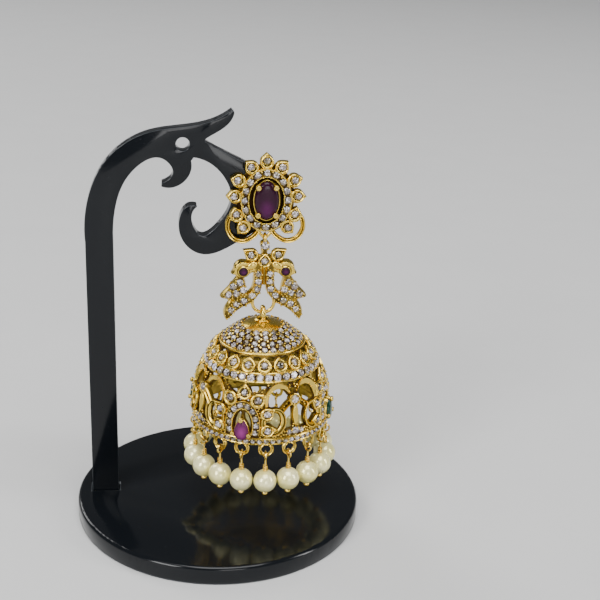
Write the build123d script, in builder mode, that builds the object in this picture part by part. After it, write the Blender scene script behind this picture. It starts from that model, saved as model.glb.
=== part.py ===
from build123d import *
import os
from math import acos, atan2, cos, hypot, radians, sin

# Jhumka earring hanging on an acrylic display stand. Millimetres, +Z up, the earring faces -Y.
# The origin is the centre of the stand's foot, on the surface that it stands on.

# ---- driving dimensions -------------------------------------------------------------------------
FIT = 0.1                  # gap between a stone, pin or tenon and what holds it
LINK_GAP = 0.12            # play between two rings that hang in each other

FOOT_RADIUS = 31.0
FOOT_THICK = 4.0
FOOT_EDGE = 0.8
PLATE_THICK = 3.0
PLATE_FRONT_Y = 0.9
TENON_BOTTOM_Z = 0.4

EAR_X = 9.0                # the earring hangs on the vertical line x = EAR_X, y = 0
STUD_Z = 71.2              # centre of the stud
STUD_BACK_Y = 0.6
HALO_RADII = (5.15, 6.75)  # half width and half height of the paved oval
HALO_THICK = 1.9
BACKPLATE_RADII = (5.95, 7.75)
BACKPLATE_THICK = 1.0
RING_RELIEF_R = 1.75
PETAL_THICK = 1.6
PETAL_STONE_R = 0.83
BEZEL_WALL = 0.42
LOOP_WIRE = 0.85
STUD_RUBY_RADII = (2.58, 4.1)
STUD_RUBY_THICK = 1.4
CLAW_R = 0.38
POST_R = 0.4
POST_Z = STUD_Z + 1.5
POST_END_Y = 10.2

STUD_RING = (1.15, 0.34)   # major and wire radius of each ring of the chain of links
LINK_TOP_LOOP = (0.95, 0.33)
LINK_RING = (2.29, 0.36)
BAIL = (1.28, 0.57)
STUD_RING_Z = 64.1
LINK_RING_Z = 48.65
LINK_BACK_Y = 0.8
LINK_THICK = 1.8

RIM_Z = 22.4               # lower edge of the bell
BELL_WALL = 1.0
BELL_TURN = -21.0          # degrees that the front ruby stands to the left of straight ahead
SECTOR_COUNT = 4
PEAR_Z = RIM_Z + 3.65      # centre height of the pear stones
PEAR_R = 1.65
PEAR_TIP = 2.45
SEAT_FACE_R = 14.85        # distance of the pear seats' faces from the bell's axis
PEAR_THICK = 0.95

DROP_COUNT = 18
DROP_RADIUS = 14.45        # the drops hang on this circle
RIM_LOOP = (1.31, 0.34)
RIM_LOOP_Z = RIM_Z - 0.9
PEARL_R = 2.45
PEARL_Z = 14.0
PIN_EYE = (0.84, 0.22)
PIN_R = 0.25
PIN_WRAP = (0.48, 1.15)    # radius and length of the wrapped wire over the pearl
PIN_BEAD_R = 0.58

UPPER_PIVOT_Z = STUD_RING_Z - STUD_RING[0]
LOWER_PIVOT_Z = LINK_RING_Z - LINK_RING[0]
BASE = (Align.CENTER, Align.CENTER, Align.MIN)


def front_plane(y):
    """The plane at depth y with x from the earring's centre line and y as the height Z."""
    return Plane(origin=(EAR_X, y, 0), x_dir=(1, 0, 0), z_dir=(0, -1, 0))


def bell_point(turn, z, distance=0.0):
    """A point at a distance from the bell's axis, turned from -Y towards +X by turn degrees."""
    return (EAR_X + distance * sin(radians(turn)), -distance * cos(radians(turn)), z)


def radial_plane(turn, z, distance=0.0):
    """A plane that faces away from the bell's axis."""
    out = (sin(radians(turn)), -cos(radians(turn)), 0)
    along = (cos(radians(turn)), sin(radians(turn)), 0)
    return Plane(origin=bell_point(turn, z, distance), x_dir=along, z_dir=out)


def edge_on_plane(turn, z, distance):
    """A plane that holds the bell's axis, for loops that are seen edge-on from outside."""
    along = (cos(radians(turn)), sin(radians(turn)), 0)
    return Plane(origin=bell_point(turn, z, distance), x_dir=(0, 0, 1), z_dir=along)


def hanging_height(pivot_z, wire_radius, loop):
    """Centre height of a loop that hangs on a level wire whose middle is at pivot_z."""
    hole = loop[0] - loop[1]
    return pivot_z + wire_radius + LINK_GAP - hole


def teardrop(centre, tip, radius):
    """A round seat drawn out to a point, in the current sketch."""
    reach = hypot(tip[0] - centre[0], tip[1] - centre[1])
    heading = atan2(tip[1] - centre[1], tip[0] - centre[0])
    spread = acos(radius / reach)
    tangents = [
        (centre[0] + radius * cos(heading + side * spread), centre[1] + radius * sin(heading + side * spread))
        for side in (-1, 1)
    ]
    with Locations(centre):
        Circle(radius)
    Polygon(centre, tangents[0], tip, tangents[1], align=None)


def ribbon(rows):
    """A band through rows of (x, height, half width), with smooth sides, in the current sketch."""
    left, right = [], []
    for index, (x, z, half) in enumerate(rows):
        before = rows[max(index - 1, 0)]
        after = rows[min(index + 1, len(rows) - 1)]
        run = hypot(after[0] - before[0], after[1] - before[1])
        across = ((before[1] - after[1]) / run, (after[0] - before[0]) / run)
        left.append((x + half * across[0], z + half * across[1]))
        right.append((x - half * across[0], z - half * across[1]))
    with BuildLine(Plane.XY) as outline:
        Spline(*left)
        Line(left[-1], right[-1])
        Spline(*right[::-1])
        Line(right[0], left[0])
    make_face(outline.edges())


def save(built, name):
    """Labels a finished piece and writes it as parts/NAME.step."""
    built.part.label = name
    export_step(built.part, f"parts/{name}.step")


os.makedirs("parts", exist_ok=True)

# ---- stand --------------------------------------------------------------------------------------
# Outline stretches of the plate, each (x from the earring's centre line, height), clockwise.
UPRIGHT_OUTER_X = -36.8
UPRIGHT_INNER_X = -31.1
BACK_LINE = [
    (UPRIGHT_OUTER_X, 62.0),
    (-35.5, 72.8),
    (-31.6, 79.7),
    (-24.0, 84.6),
    (-13.1, 86.4),
    (-7.1, 89.2),
]
CREST_UNDERSIDE = [(-6.6, 88.7), (-7.8, 86.4), (-10.3, 84.6), (-12.4, 83.3)]
TRUNK_OUTER = [
    (-12.4, 82.8),
    (-7.2, 80.0),
    (0.2, 75.3),
    (2.8, 71.2),
    (-0.6, 65.2),
    (-6.4, 61.2),
    (-12.8, 59.1),
    (-17.6, 64.0),
    (-15.7, 69.5),
    (-14.0, 69.5),
]
TRUNK_INNER = [
    (-14.0, 69.3),
    (-15.0, 66.0),
    (-13.0, 63.1),
    (-9.9, 65.0),
    (-7.0, 71.3),
    (-9.3, 76.6),
    (-14.7, 79.6),
]
TUSK_OUTER = [(-15.2, 78.9), (-15.5, 76.1), (-18.2, 73.6), (-21.2, 73.6)]
TUSK_INNER = [
    (-21.1, 74.3),
    (-18.9, 77.0),
    (-21.1, 79.4),
    (-26.5, 77.3),
    (-30.2, 70.6),
    (UPRIGHT_INNER_X, 62.0),
]
EYE_HOLE = (-16.9, 82.3, 1.4)

with BuildPart() as stand_plate:
    with BuildSketch(front_plane(PLATE_FRONT_Y + PLATE_THICK)):
        with BuildLine():
            corners = []
            for stretch in (BACK_LINE, CREST_UNDERSIDE, TRUNK_OUTER, TRUNK_INNER, TUSK_OUTER, TUSK_INNER):
                Spline(*stretch)
                corners.append((stretch[0], stretch[-1]))
            for (_, end), (start, _) in zip(corners, corners[1:]):
                Line(end, start)
            Polyline(
                TUSK_INNER[-1],
                (UPRIGHT_INNER_X, TENON_BOTTOM_Z),
                (UPRIGHT_OUTER_X, TENON_BOTTOM_Z),
                BACK_LINE[0],
            )
        make_face()
        with Locations(EYE_HOLE[:2]):
            Circle(EYE_HOLE[2], mode=Mode.SUBTRACT)
        with Locations((0, POST_Z)):
            Circle(POST_R + 2 * FIT, mode=Mode.SUBTRACT)
    extrude(amount=PLATE_THICK)
save(stand_plate, "stand_plate")

with BuildPart() as stand_foot:
    Cylinder(FOOT_RADIUS, FOOT_THICK, align=BASE)
    fillet(stand_foot.edges().filter_by(GeomType.CIRCLE).sort_by(Axis.Z)[-1], FOOT_EDGE)
    tenon_x = EAR_X + (UPRIGHT_OUTER_X + UPRIGHT_INNER_X) / 2
    with Locations((tenon_x, PLATE_FRONT_Y + PLATE_THICK / 2, 0)):
        Box(
            UPRIGHT_INNER_X - UPRIGHT_OUTER_X + 2 * FIT,
            PLATE_THICK + 2 * FIT,
            FOOT_THICK,
            align=BASE,
            mode=Mode.SUBTRACT,
        )
save(stand_foot, "stand_foot")

# ---- stud ---------------------------------------------------------------------------------------
# The petals of the right half: stone and tip, as (x, height above the stud's centre).
SIDE_PETALS = [
    ((3.3, 6.9), (4.45, 8.35)),
    ((5.85, 4.1), (7.4, 4.8)),
    ((6.6, 0.7), (8.3, 0.7)),
    ((6.05, -3.05), (6.5, -1.3)),
    ((4.66, -5.95), (6.1, -7.5)),
]
TOP_PETAL = ((0, 8.28), (0, 9.85))
EAR_LOOP = [(7.0, -2.6), (8.3, -4.6), (8.3, -6.6), (6.9, -8.5), (4.4, -8.9), (2.3, -7.6), (1.3, -6.4)]
RUBY_CLAWS = [(1.98, 3.55), (1.98, -3.25)]
RUBY_RISE = 0.15           # the oval ruby sits a little above the stud's centre


def above_stud(point):
    return (point[0], STUD_Z + point[1])


stud_petals = [TOP_PETAL]
for stone, tip in SIDE_PETALS:
    stud_petals += [(stone, tip), ((-stone[0], stone[1]), (-tip[0], tip[1]))]
halo_face_y = STUD_BACK_Y - HALO_THICK
ruby_back_y = halo_face_y - FIT

with BuildPart() as stud_frame:
    with BuildSketch(front_plane(STUD_BACK_Y)):
        with Locations((0, STUD_Z)):
            Ellipse(*HALO_RADII)
    extrude(amount=HALO_THICK)
    with BuildSketch(front_plane(STUD_BACK_Y)):
        with Locations((0, STUD_Z)):
            Ellipse(*BACKPLATE_RADII)
        with Locations((0, STUD_RING_Z)):
            Circle(RING_RELIEF_R, mode=Mode.SUBTRACT)
    extrude(amount=BACKPLATE_THICK)
    with BuildSketch(front_plane(STUD_BACK_Y)):
        for stone, tip in stud_petals:
            teardrop(above_stud(stone), above_stud(tip), PETAL_STONE_R + BEZEL_WALL)
    extrude(amount=PETAL_THICK)
    with BuildSketch(front_plane(STUD_BACK_Y - 0.2)):
        for side in (-1, 1):
            ribbon([(side * x, STUD_Z + z, LOOP_WIRE / 2) for x, z in EAR_LOOP])
    extrude(amount=1.0)
    with BuildSketch(front_plane(halo_face_y + 0.5)):
        for side in (-1, 1):
            with Locations(*[above_stud((side * x, z)) for x, z in RUBY_CLAWS]):
                Circle(CLAW_R)
    extrude(amount=STUD_RUBY_THICK + 0.6)
    with Locations((EAR_X, 0, STUD_RING_Z)):
        Torus(*STUD_RING, rotation=(90, 0, 0))
    with BuildSketch(front_plane(POST_END_Y)):
        with Locations((0, POST_Z)):
            Circle(POST_R)
    extrude(amount=POST_END_Y - STUD_BACK_Y + BACKPLATE_THICK)
save(stud_frame, "stud_frame")

with BuildPart() as stud_ruby:
    with BuildSketch(front_plane(ruby_back_y)):
        with Locations((0, STUD_Z + RUBY_RISE)):
            Ellipse(*STUD_RUBY_RADII)
    extrude(amount=STUD_RUBY_THICK)
    chamfer(stud_ruby.edges().sort_by(Axis.Y)[0], STUD_RUBY_THICK / 2)
    with BuildSketch(front_plane(ruby_back_y + 1)):
        for side in (-1, 1):
            with Locations(*[above_stud((side * x, z)) for x, z in RUBY_CLAWS]):
                Circle(CLAW_R + FIT)
    extrude(amount=STUD_RUBY_THICK + 2, mode=Mode.SUBTRACT)
save(stud_ruby, "stud_ruby")

CLUTCH_DISC = (2.6, 0.8)   # radius and thickness
CLUTCH_BARREL = (1.3, 3.2)
with BuildPart() as ear_clutch:
    with BuildSketch(front_plane(PLATE_FRONT_Y + PLATE_THICK + 0.3 + CLUTCH_DISC[1])):
        with Locations((0, POST_Z)):
            Circle(CLUTCH_DISC[0])
    extrude(amount=CLUTCH_DISC[1])
    with BuildSketch(front_plane(PLATE_FRONT_Y + PLATE_THICK + 0.3 + CLUTCH_BARREL[1])):
        with Locations((0, POST_Z)):
            Circle(CLUTCH_BARREL[0])
    extrude(amount=CLUTCH_BARREL[1])
    with BuildSketch(front_plane(POST_END_Y)):
        with Locations((0, POST_Z)):
            Circle(POST_R + FIT / 2)
    extrude(amount=POST_END_Y - PLATE_FRONT_Y, mode=Mode.SUBTRACT)
save(ear_clutch, "ear_clutch")

# ---- peacock link -------------------------------------------------------------------------------
# The right-hand bird: band from the neck to the tail's tip, as (x, height, half width).
NECK_AND_TAIL = [
    (1.2, 57.0, 0.95),
    (1.3, 54.0, 1.0),
    (1.65, 51.8, 1.05),
    (2.9, 49.9, 1.05),
    (5.3, 48.5, 1.3),
    (7.2, 46.9, 1.1),
    (7.85, 44.7, 0.3),
]
BROW = [(0.9, 56.9, 0.8), (2.6, 57.5, 0.9), (4.4, 57.0, 0.9)]
WING = [(5.0, 54.9, 0.7), (5.0, 53.3, 1.45), (6.0, 51.6, 2.0), (7.4, 50.6, 1.5), (9.1, 50.2, 0.25)]
EYE = (4.4, 55.9)
EYE_BEZEL_R = 1.3
EYE_STONE_R = 1.0
HEAD_R = 2.05
BEAK = [(5.9, 56.9), (6.95, 55.1), (5.6, 54.6)]
CROWN_PETAL = ((2.8, 59.45), (4.6, 60.6))
CENTRE_PETAL = ((0, 58.1), (0, 60.0))
CROWN_SEAT = (0, 61.45)
CROWN_SEAT_R = 1.05
CROWN_SEAT_RISE = 0.4
STONE_THICK = 0.6
link_face_y = LINK_BACK_Y - LINK_THICK
top_loop_z = hanging_height(UPPER_PIVOT_Z, STUD_RING[1], LINK_TOP_LOOP)

with BuildPart() as peacock_frame:
    with BuildSketch(front_plane(LINK_BACK_Y)):
        for side in (-1, 1):
            for band in (NECK_AND_TAIL, BROW, WING):
                ribbon([(side * x, z, half) for x, z, half in band])
            with Locations((side * EYE[0], EYE[1])):
                Circle(HEAD_R)
            Polygon(*[(side * x, z) for x, z in BEAK], align=None)
            stone, tip = CROWN_PETAL
            teardrop((side * stone[0], stone[1]), (side * tip[0], tip[1]), PETAL_STONE_R + BEZEL_WALL)
        teardrop(*CENTRE_PETAL, PETAL_STONE_R + BEZEL_WALL)
        with Locations((0, (CENTRE_PETAL[0][1] + CROWN_SEAT[1]) / 2)):
            Rectangle(2.6, 2.2)
    extrude(amount=LINK_THICK)
    with BuildSketch(front_plane(LINK_BACK_Y)):
        with Locations(CROWN_SEAT):
            Circle(CROWN_SEAT_R)
    extrude(amount=LINK_THICK + CROWN_SEAT_RISE)
    with Locations((EAR_X, 0, top_loop_z)):
        Torus(*LINK_TOP_LOOP, rotation=(0, 90, 0))
    with Locations((EAR_X, 0, LINK_RING_Z)):
        Torus(*LINK_RING, rotation=(90, 0, 0))
save(peacock_frame, "peacock_frame")

for side, name in ((-1, "eye_ruby_left"), (1, "eye_ruby_right")):
    with BuildPart() as eye_ruby:
        with BuildSketch(front_plane(link_face_y - FIT)):
            with Locations((side * EYE[0], EYE[1])):
                Circle(EYE_STONE_R)
        extrude(amount=STONE_THICK, taper=20)
    save(eye_ruby, name)

# ---- bell ---------------------------------------------------------------------------------------
# The bell's outside, from its lower edge to its top, as (radius, height above the edge).
BELL_PROFILE = [
    (14.6, 0.0),
    (14.45, 3.6),
    (13.85, 8.6),
    (12.5, 12.6),
    (10.6, 16.1),
    (7.5, 19.1),
    (4.0, 21.6),
    (1.4, 22.4),
]
# Windows of the openwork, on both sides of each pear stone, as (turn, height above the edge, radius).
WINDOWS = [(9.5, 12.0, 0.75), (32.5, 10.3, 1.7), (31.5, 5.3, 1.35)]
COLLAR = (1.35, 0.3)
bail_z = hanging_height(LOWER_PIVOT_Z, LINK_RING[1], BAIL)
bell_top_z = RIM_Z + BELL_PROFILE[-1][1]


def inside_of(rows, wall):
    """The same profile, moved in by the wall's thickness."""
    moved = []
    for index, (radius, z) in enumerate(rows):
        before = rows[max(index - 1, 0)]
        after = rows[min(index + 1, len(rows) - 1)]
        run = hypot(after[0] - before[0], after[1] - before[1])
        out = ((after[1] - before[1]) / run, (before[0] - after[0]) / run)
        moved.append((radius - wall * out[0], z - wall * out[1]))
    moved[0] = (rows[0][0] - wall, 0.0)
    return moved


def pear_turn(index):
    return BELL_TURN + index * 360 / SECTOR_COUNT


def drop_turn(index):
    return BELL_TURN + index * 360 / DROP_COUNT


with BuildPart() as bell_shell:
    outside = [(radius, RIM_Z + z) for radius, z in BELL_PROFILE]
    inside = [(radius, RIM_Z + z) for radius, z in inside_of(BELL_PROFILE, BELL_WALL)]
    with BuildSketch(front_plane(0)):
        with BuildLine():
            Spline(*outside)
            Polyline(outside[-1], (0, outside[-1][1]), (0, inside[-1][1]), inside[-1])
            Spline(*inside[::-1])
            Line(inside[0], outside[0])
        make_face()
    revolve(axis=Axis((EAR_X, 0, 0), (0, 0, 1)))
    for index in range(SECTOR_COUNT):
        for side in (-1, 1):
            for turn, height, radius in WINDOWS:
                with BuildSketch(radial_plane(pear_turn(index) + side * turn, RIM_Z + height)):
                    Circle(radius)
                extrude(amount=BELL_PROFILE[0][0] + 2, mode=Mode.SUBTRACT)
        with BuildSketch(radial_plane(pear_turn(index), PEAR_Z, SEAT_FACE_R)):
            teardrop((0, PEAR_R - PEAR_TIP), (0, PEAR_TIP), PEAR_R)
        extrude(amount=-BELL_WALL)
        with BuildSketch(radial_plane(pear_turn(index), PEAR_Z, SEAT_FACE_R - BELL_WALL)):
            claw_reach = CLAW_R + FIT
            with Locations((0, PEAR_TIP + claw_reach), (-PEAR_R - claw_reach, -0.8), (PEAR_R + claw_reach, -0.8)):
                Circle(CLAW_R)
        extrude(amount=BELL_WALL + PEAR_THICK + 0.2)
    for index in range(DROP_COUNT):
        with Locations(radial_plane(drop_turn(index), RIM_LOOP_Z, DROP_RADIUS)):
            Torus(*RIM_LOOP)
    with Locations((EAR_X, 0, bell_top_z - 0.2)):
        Cylinder(COLLAR[0], COLLAR[1] + 0.2, align=BASE)
    with Locations((EAR_X, 0, bail_z)):
        Torus(*BAIL, rotation=(0, 90, 0))
save(bell_shell, "bell_shell")

PEAR_NAMES = ("ruby_front", "emerald_right", "ruby_back", "emerald_left")
for index, name in enumerate(PEAR_NAMES):
    with BuildPart() as pear_stone:
        with BuildSketch(radial_plane(pear_turn(index), PEAR_Z, SEAT_FACE_R + FIT)):
            teardrop((0, PEAR_R - PEAR_TIP), (0, PEAR_TIP), PEAR_R)
        extrude(amount=PEAR_THICK, taper=25)
    save(pear_stone, f"pear_{name}")

# ---- pearl drops --------------------------------------------------------------------------------
eye_z = hanging_height(RIM_LOOP_Z - RIM_LOOP[0], RIM_LOOP[1], PIN_EYE)
eye_bottom_z = eye_z - PIN_EYE[0]
bead_z = PEARL_Z - PEARL_R - PIN_BEAD_R - 0.06

for index in range(DROP_COUNT):
    turn = drop_turn(index)
    with BuildPart() as pearl:
        with Locations(bell_point(turn, PEARL_Z, DROP_RADIUS)):
            Sphere(PEARL_R)
            Cylinder(PIN_R + FIT, 3 * PEARL_R, mode=Mode.SUBTRACT)
    save(pearl, f"pearl_{index + 1:02d}")
    with BuildPart() as pearl_pin:
        with Locations(bell_point(turn, bead_z, DROP_RADIUS)):
            Sphere(PIN_BEAD_R)
            Cylinder(PIN_R, eye_bottom_z - bead_z, align=BASE)
        with Locations(bell_point(turn, PEARL_Z + PEARL_R + FIT, DROP_RADIUS)):
            Cylinder(*PIN_WRAP, align=BASE)
        with Locations(edge_on_plane(turn, eye_z, DROP_RADIUS)):
            Torus(*PIN_EYE)
    save(pearl_pin, f"pearl_pin_{index + 1:02d}")
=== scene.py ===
"""Looks of a gold jhumka earring that hangs on a black acrylic display stand."""

import math

import bmesh
import bpy
import numpy as np
from mathutils import Matrix, Vector


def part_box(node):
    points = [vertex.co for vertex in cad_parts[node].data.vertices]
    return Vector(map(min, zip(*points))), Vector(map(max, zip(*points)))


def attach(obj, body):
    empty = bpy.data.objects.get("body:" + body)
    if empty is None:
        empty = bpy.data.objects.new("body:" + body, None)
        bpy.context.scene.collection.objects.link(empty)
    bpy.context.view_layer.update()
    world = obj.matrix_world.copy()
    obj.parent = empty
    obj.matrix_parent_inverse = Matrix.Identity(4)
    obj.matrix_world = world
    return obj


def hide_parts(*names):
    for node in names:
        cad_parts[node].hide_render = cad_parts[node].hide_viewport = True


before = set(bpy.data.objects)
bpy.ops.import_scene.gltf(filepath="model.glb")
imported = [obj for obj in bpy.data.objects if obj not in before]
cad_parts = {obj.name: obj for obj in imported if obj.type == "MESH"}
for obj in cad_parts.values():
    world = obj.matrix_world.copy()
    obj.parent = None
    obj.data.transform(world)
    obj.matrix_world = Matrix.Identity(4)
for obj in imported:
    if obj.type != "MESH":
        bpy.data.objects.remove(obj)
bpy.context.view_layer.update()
rng = np.random.default_rng(7)

MM = 0.001


# ---- places taken from the frame ----------------------------------------------------------------
def corners(node):
    """Lowest and highest corner of a CAD node, in millimetres."""
    low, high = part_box(node)
    return np.array(low) / MM, np.array(high) / MM


def middle(node):
    low, high = corners(node)
    return (low + high) / 2


EAR_X = middle("bell_shell")[0]
STUD_Z = middle("stud_ruby")[2] - 0.15
RUBY_BACK_Y = corners("stud_ruby")[1][1]
STUD_BACK_Y = 0.6
HALO_FACE_Y = RUBY_BACK_Y + 0.1
LINK_BACK_Y = 0.8
LINK_FACE_Y = corners("eye_ruby_left")[1][1] + 0.1
RIM_Z = middle("pearl_01")[2] + 8.4   # lower edge of the bell
PEAR_Z = middle("pear_ruby_front")[2]
BELL_TURN = -21.0          # of the front ruby, from straight ahead
DROP_COUNT = 18
DROP_RADIUS = 14.45        # of the circle on which the drops hang
PEARL_RADIUS = 2.45
SEAT_FACE = 14.85          # from the bell's axis to the pear stones' seats
LINK_RING, LINK_WIRE = 2.29, 0.36
UPPER_PIVOT_Z = 62.95
LOWER_PIVOT_Z = 46.36

# The bell's outside, as (height above the lower edge, distance from the axis).
BELL_PROFILE = [
    (0.0, 14.6), (3.6, 14.45), (8.6, 13.85), (12.6, 12.5),
    (16.1, 10.6), (19.1, 7.5), (21.6, 4.0), (22.4, 1.4),
]


# ---- curves -------------------------------------------------------------------------------------
def smooth_path(points, steps, closed=False):
    """A smooth line through the points, with steps between each two."""
    points = np.array(points, float)
    count = len(points)
    spans = count if closed else count - 1
    if closed:
        before, after = np.roll(points, 1, 0), np.roll(points, -1, 0)
        tangents = (after - before) / 2
    else:
        tangents = np.gradient(points, axis=0)
    line = []
    for k in range(spans):
        a, b = points[k], points[(k + 1) % count]
        ta, tb = tangents[k], tangents[(k + 1) % count]
        for step in range(steps):
            t = step / steps
            line.append(
                (2 * t**3 - 3 * t**2 + 1) * a
                + (t**3 - 2 * t**2 + t) * ta
                + (3 * t**2 - 2 * t**3) * b
                + (t**3 - t**2) * tb
            )
    if not closed:
        line.append(points[-1])
    return np.array(line)


def circle(radius, sides, start=0.0):
    angles = start + np.arange(sides) * math.tau / sides
    return np.column_stack((radius * np.cos(angles), radius * np.sin(angles)))


def ellipse(width, height, sides=64):
    return circle(1.0, sides) * (width, height)


def polar(angle, distance):
    """A flat place at an angle in degrees and a distance."""
    return distance * math.cos(math.radians(angle)), distance * math.sin(math.radians(angle))


def teardrop(radius, reach):
    """An outline round the origin, drawn out to a point at (0, reach)."""
    spread = math.acos(min(radius / reach, 0.999))
    angles = np.linspace(math.pi / 2 + spread, math.pi / 2 + math.tau - spread, 20)
    arc = np.column_stack((radius * np.cos(angles), radius * np.sin(angles)))
    half = (arc[-1] + (0, reach)) / 2
    other = (arc[0] + (0, reach)) / 2
    return np.vstack((arc, half, (0, reach), other))


def with_height(outline, height):
    return np.column_stack((outline, np.full(len(outline), height)))


def facing_front(outline, y, z):
    """A flat outline stood up on the earring's centre line, at a depth and a height."""
    return np.column_stack((EAR_X + outline[:, 0], np.full(len(outline), y), z + outline[:, 1]))


def unit(rows):
    return rows / np.maximum(np.linalg.norm(rows, axis=-1, keepdims=True), 1e-9)


def beside(line, distance):
    """A flat line moved to its side."""
    ahead = unit(np.gradient(line, axis=0))
    return line + distance * np.column_stack((-ahead[:, 1], ahead[:, 0]))


def round_spine(centre, radius, first, second, around):
    """A circle of points that goes from the first direction towards the second."""
    angles = np.arange(around) * math.tau / around
    return centre + radius * (np.cos(angles)[:, None] * first + np.sin(angles)[:, None] * second)


dense_profile = smooth_path(BELL_PROFILE, 12)
dense_slope = np.gradient(dense_profile[:, 1]) / np.gradient(dense_profile[:, 0])


def bell_radius(height):
    return np.interp(height, dense_profile[:, 0], dense_profile[:, 1])


def bell_point(turn, height, lift=0.0):
    """Points over the bell: turned from the front ruby, above the lower edge, lifted off the skin."""
    turn = np.radians(np.asarray(turn, float) + BELL_TURN)
    height = np.asarray(height, float)
    slope = np.interp(height, dense_profile[:, 0], dense_slope)
    length = np.sqrt(1 + slope**2)
    distance = bell_radius(height) + lift / length
    z = RIM_Z + height - lift * slope / length
    return np.stack((EAR_X + distance * np.sin(turn), -distance * np.cos(turn), z + 0 * turn), -1)


def level_directions(turn):
    """Directions at a turn round the bell: away from its axis, and along its edge."""
    turn = math.radians(BELL_TURN + turn)
    return np.array((math.sin(turn), -math.cos(turn), 0)), np.array((math.cos(turn), math.sin(turn), 0))


def rim_directions(drop):
    return level_directions(360 / DROP_COUNT * drop)


# ---- seats: where an ornament sits --------------------------------------------------------------
class Seat:
    """A place for an ornament: u to the right, v up along the skin, h off the skin."""

    def __init__(self, origin, right, up, out):
        self.origin, self.right, self.up, self.out = (np.array(a, float) for a in (origin, right, up, out))

    def __call__(self, points):
        points = np.asarray(points, float)
        return (
            self.origin
            + points[..., 0:1] * self.right
            + points[..., 1:2] * self.up
            + points[..., 2:3] * self.out
        )

    def turned(self, degrees):
        c, s = math.cos(math.radians(degrees)), math.sin(math.radians(degrees))
        return Seat(self.origin, c * self.right + s * self.up, c * self.up - s * self.right, self.out)

    def moved(self, u, v, h=0.0):
        return Seat(self([u, v, h]), self.right, self.up, self.out)


def front_seat(x, z, face_y, turn=0.0):
    """A seat on a flat face that looks to the front; x from the earring's centre line."""
    return Seat((EAR_X + x, face_y, z), (1, 0, 0), (0, 0, 1), (0, -1, 0)).turned(turn)


def pointed_seat(stone, tip, side, z, face_y):
    """A seat at a stone, turned so that v points to the tip; side -1 mirrors it."""
    aim = math.degrees(math.atan2(tip[1] - stone[1], side * (tip[0] - stone[0]))) - 90
    return front_seat(side * stone[0], z + stone[1], face_y, aim)


def bell_seat(turn, height, spin=0.0):
    origin = bell_point(turn, height)
    right = unit(bell_point(turn + 0.5, height) - bell_point(turn - 0.5, height))
    up = unit(bell_point(turn, height + 0.05) - bell_point(turn, height - 0.05))
    return Seat(origin, right, up, np.cross(right, up)).turned(spin)


# ---- collecting surfaces ------------------------------------------------------------------------
def in_scene(name, data):
    thing = bpy.data.objects.new(name, data)
    bpy.context.scene.collection.objects.link(thing)
    return thing


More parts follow.
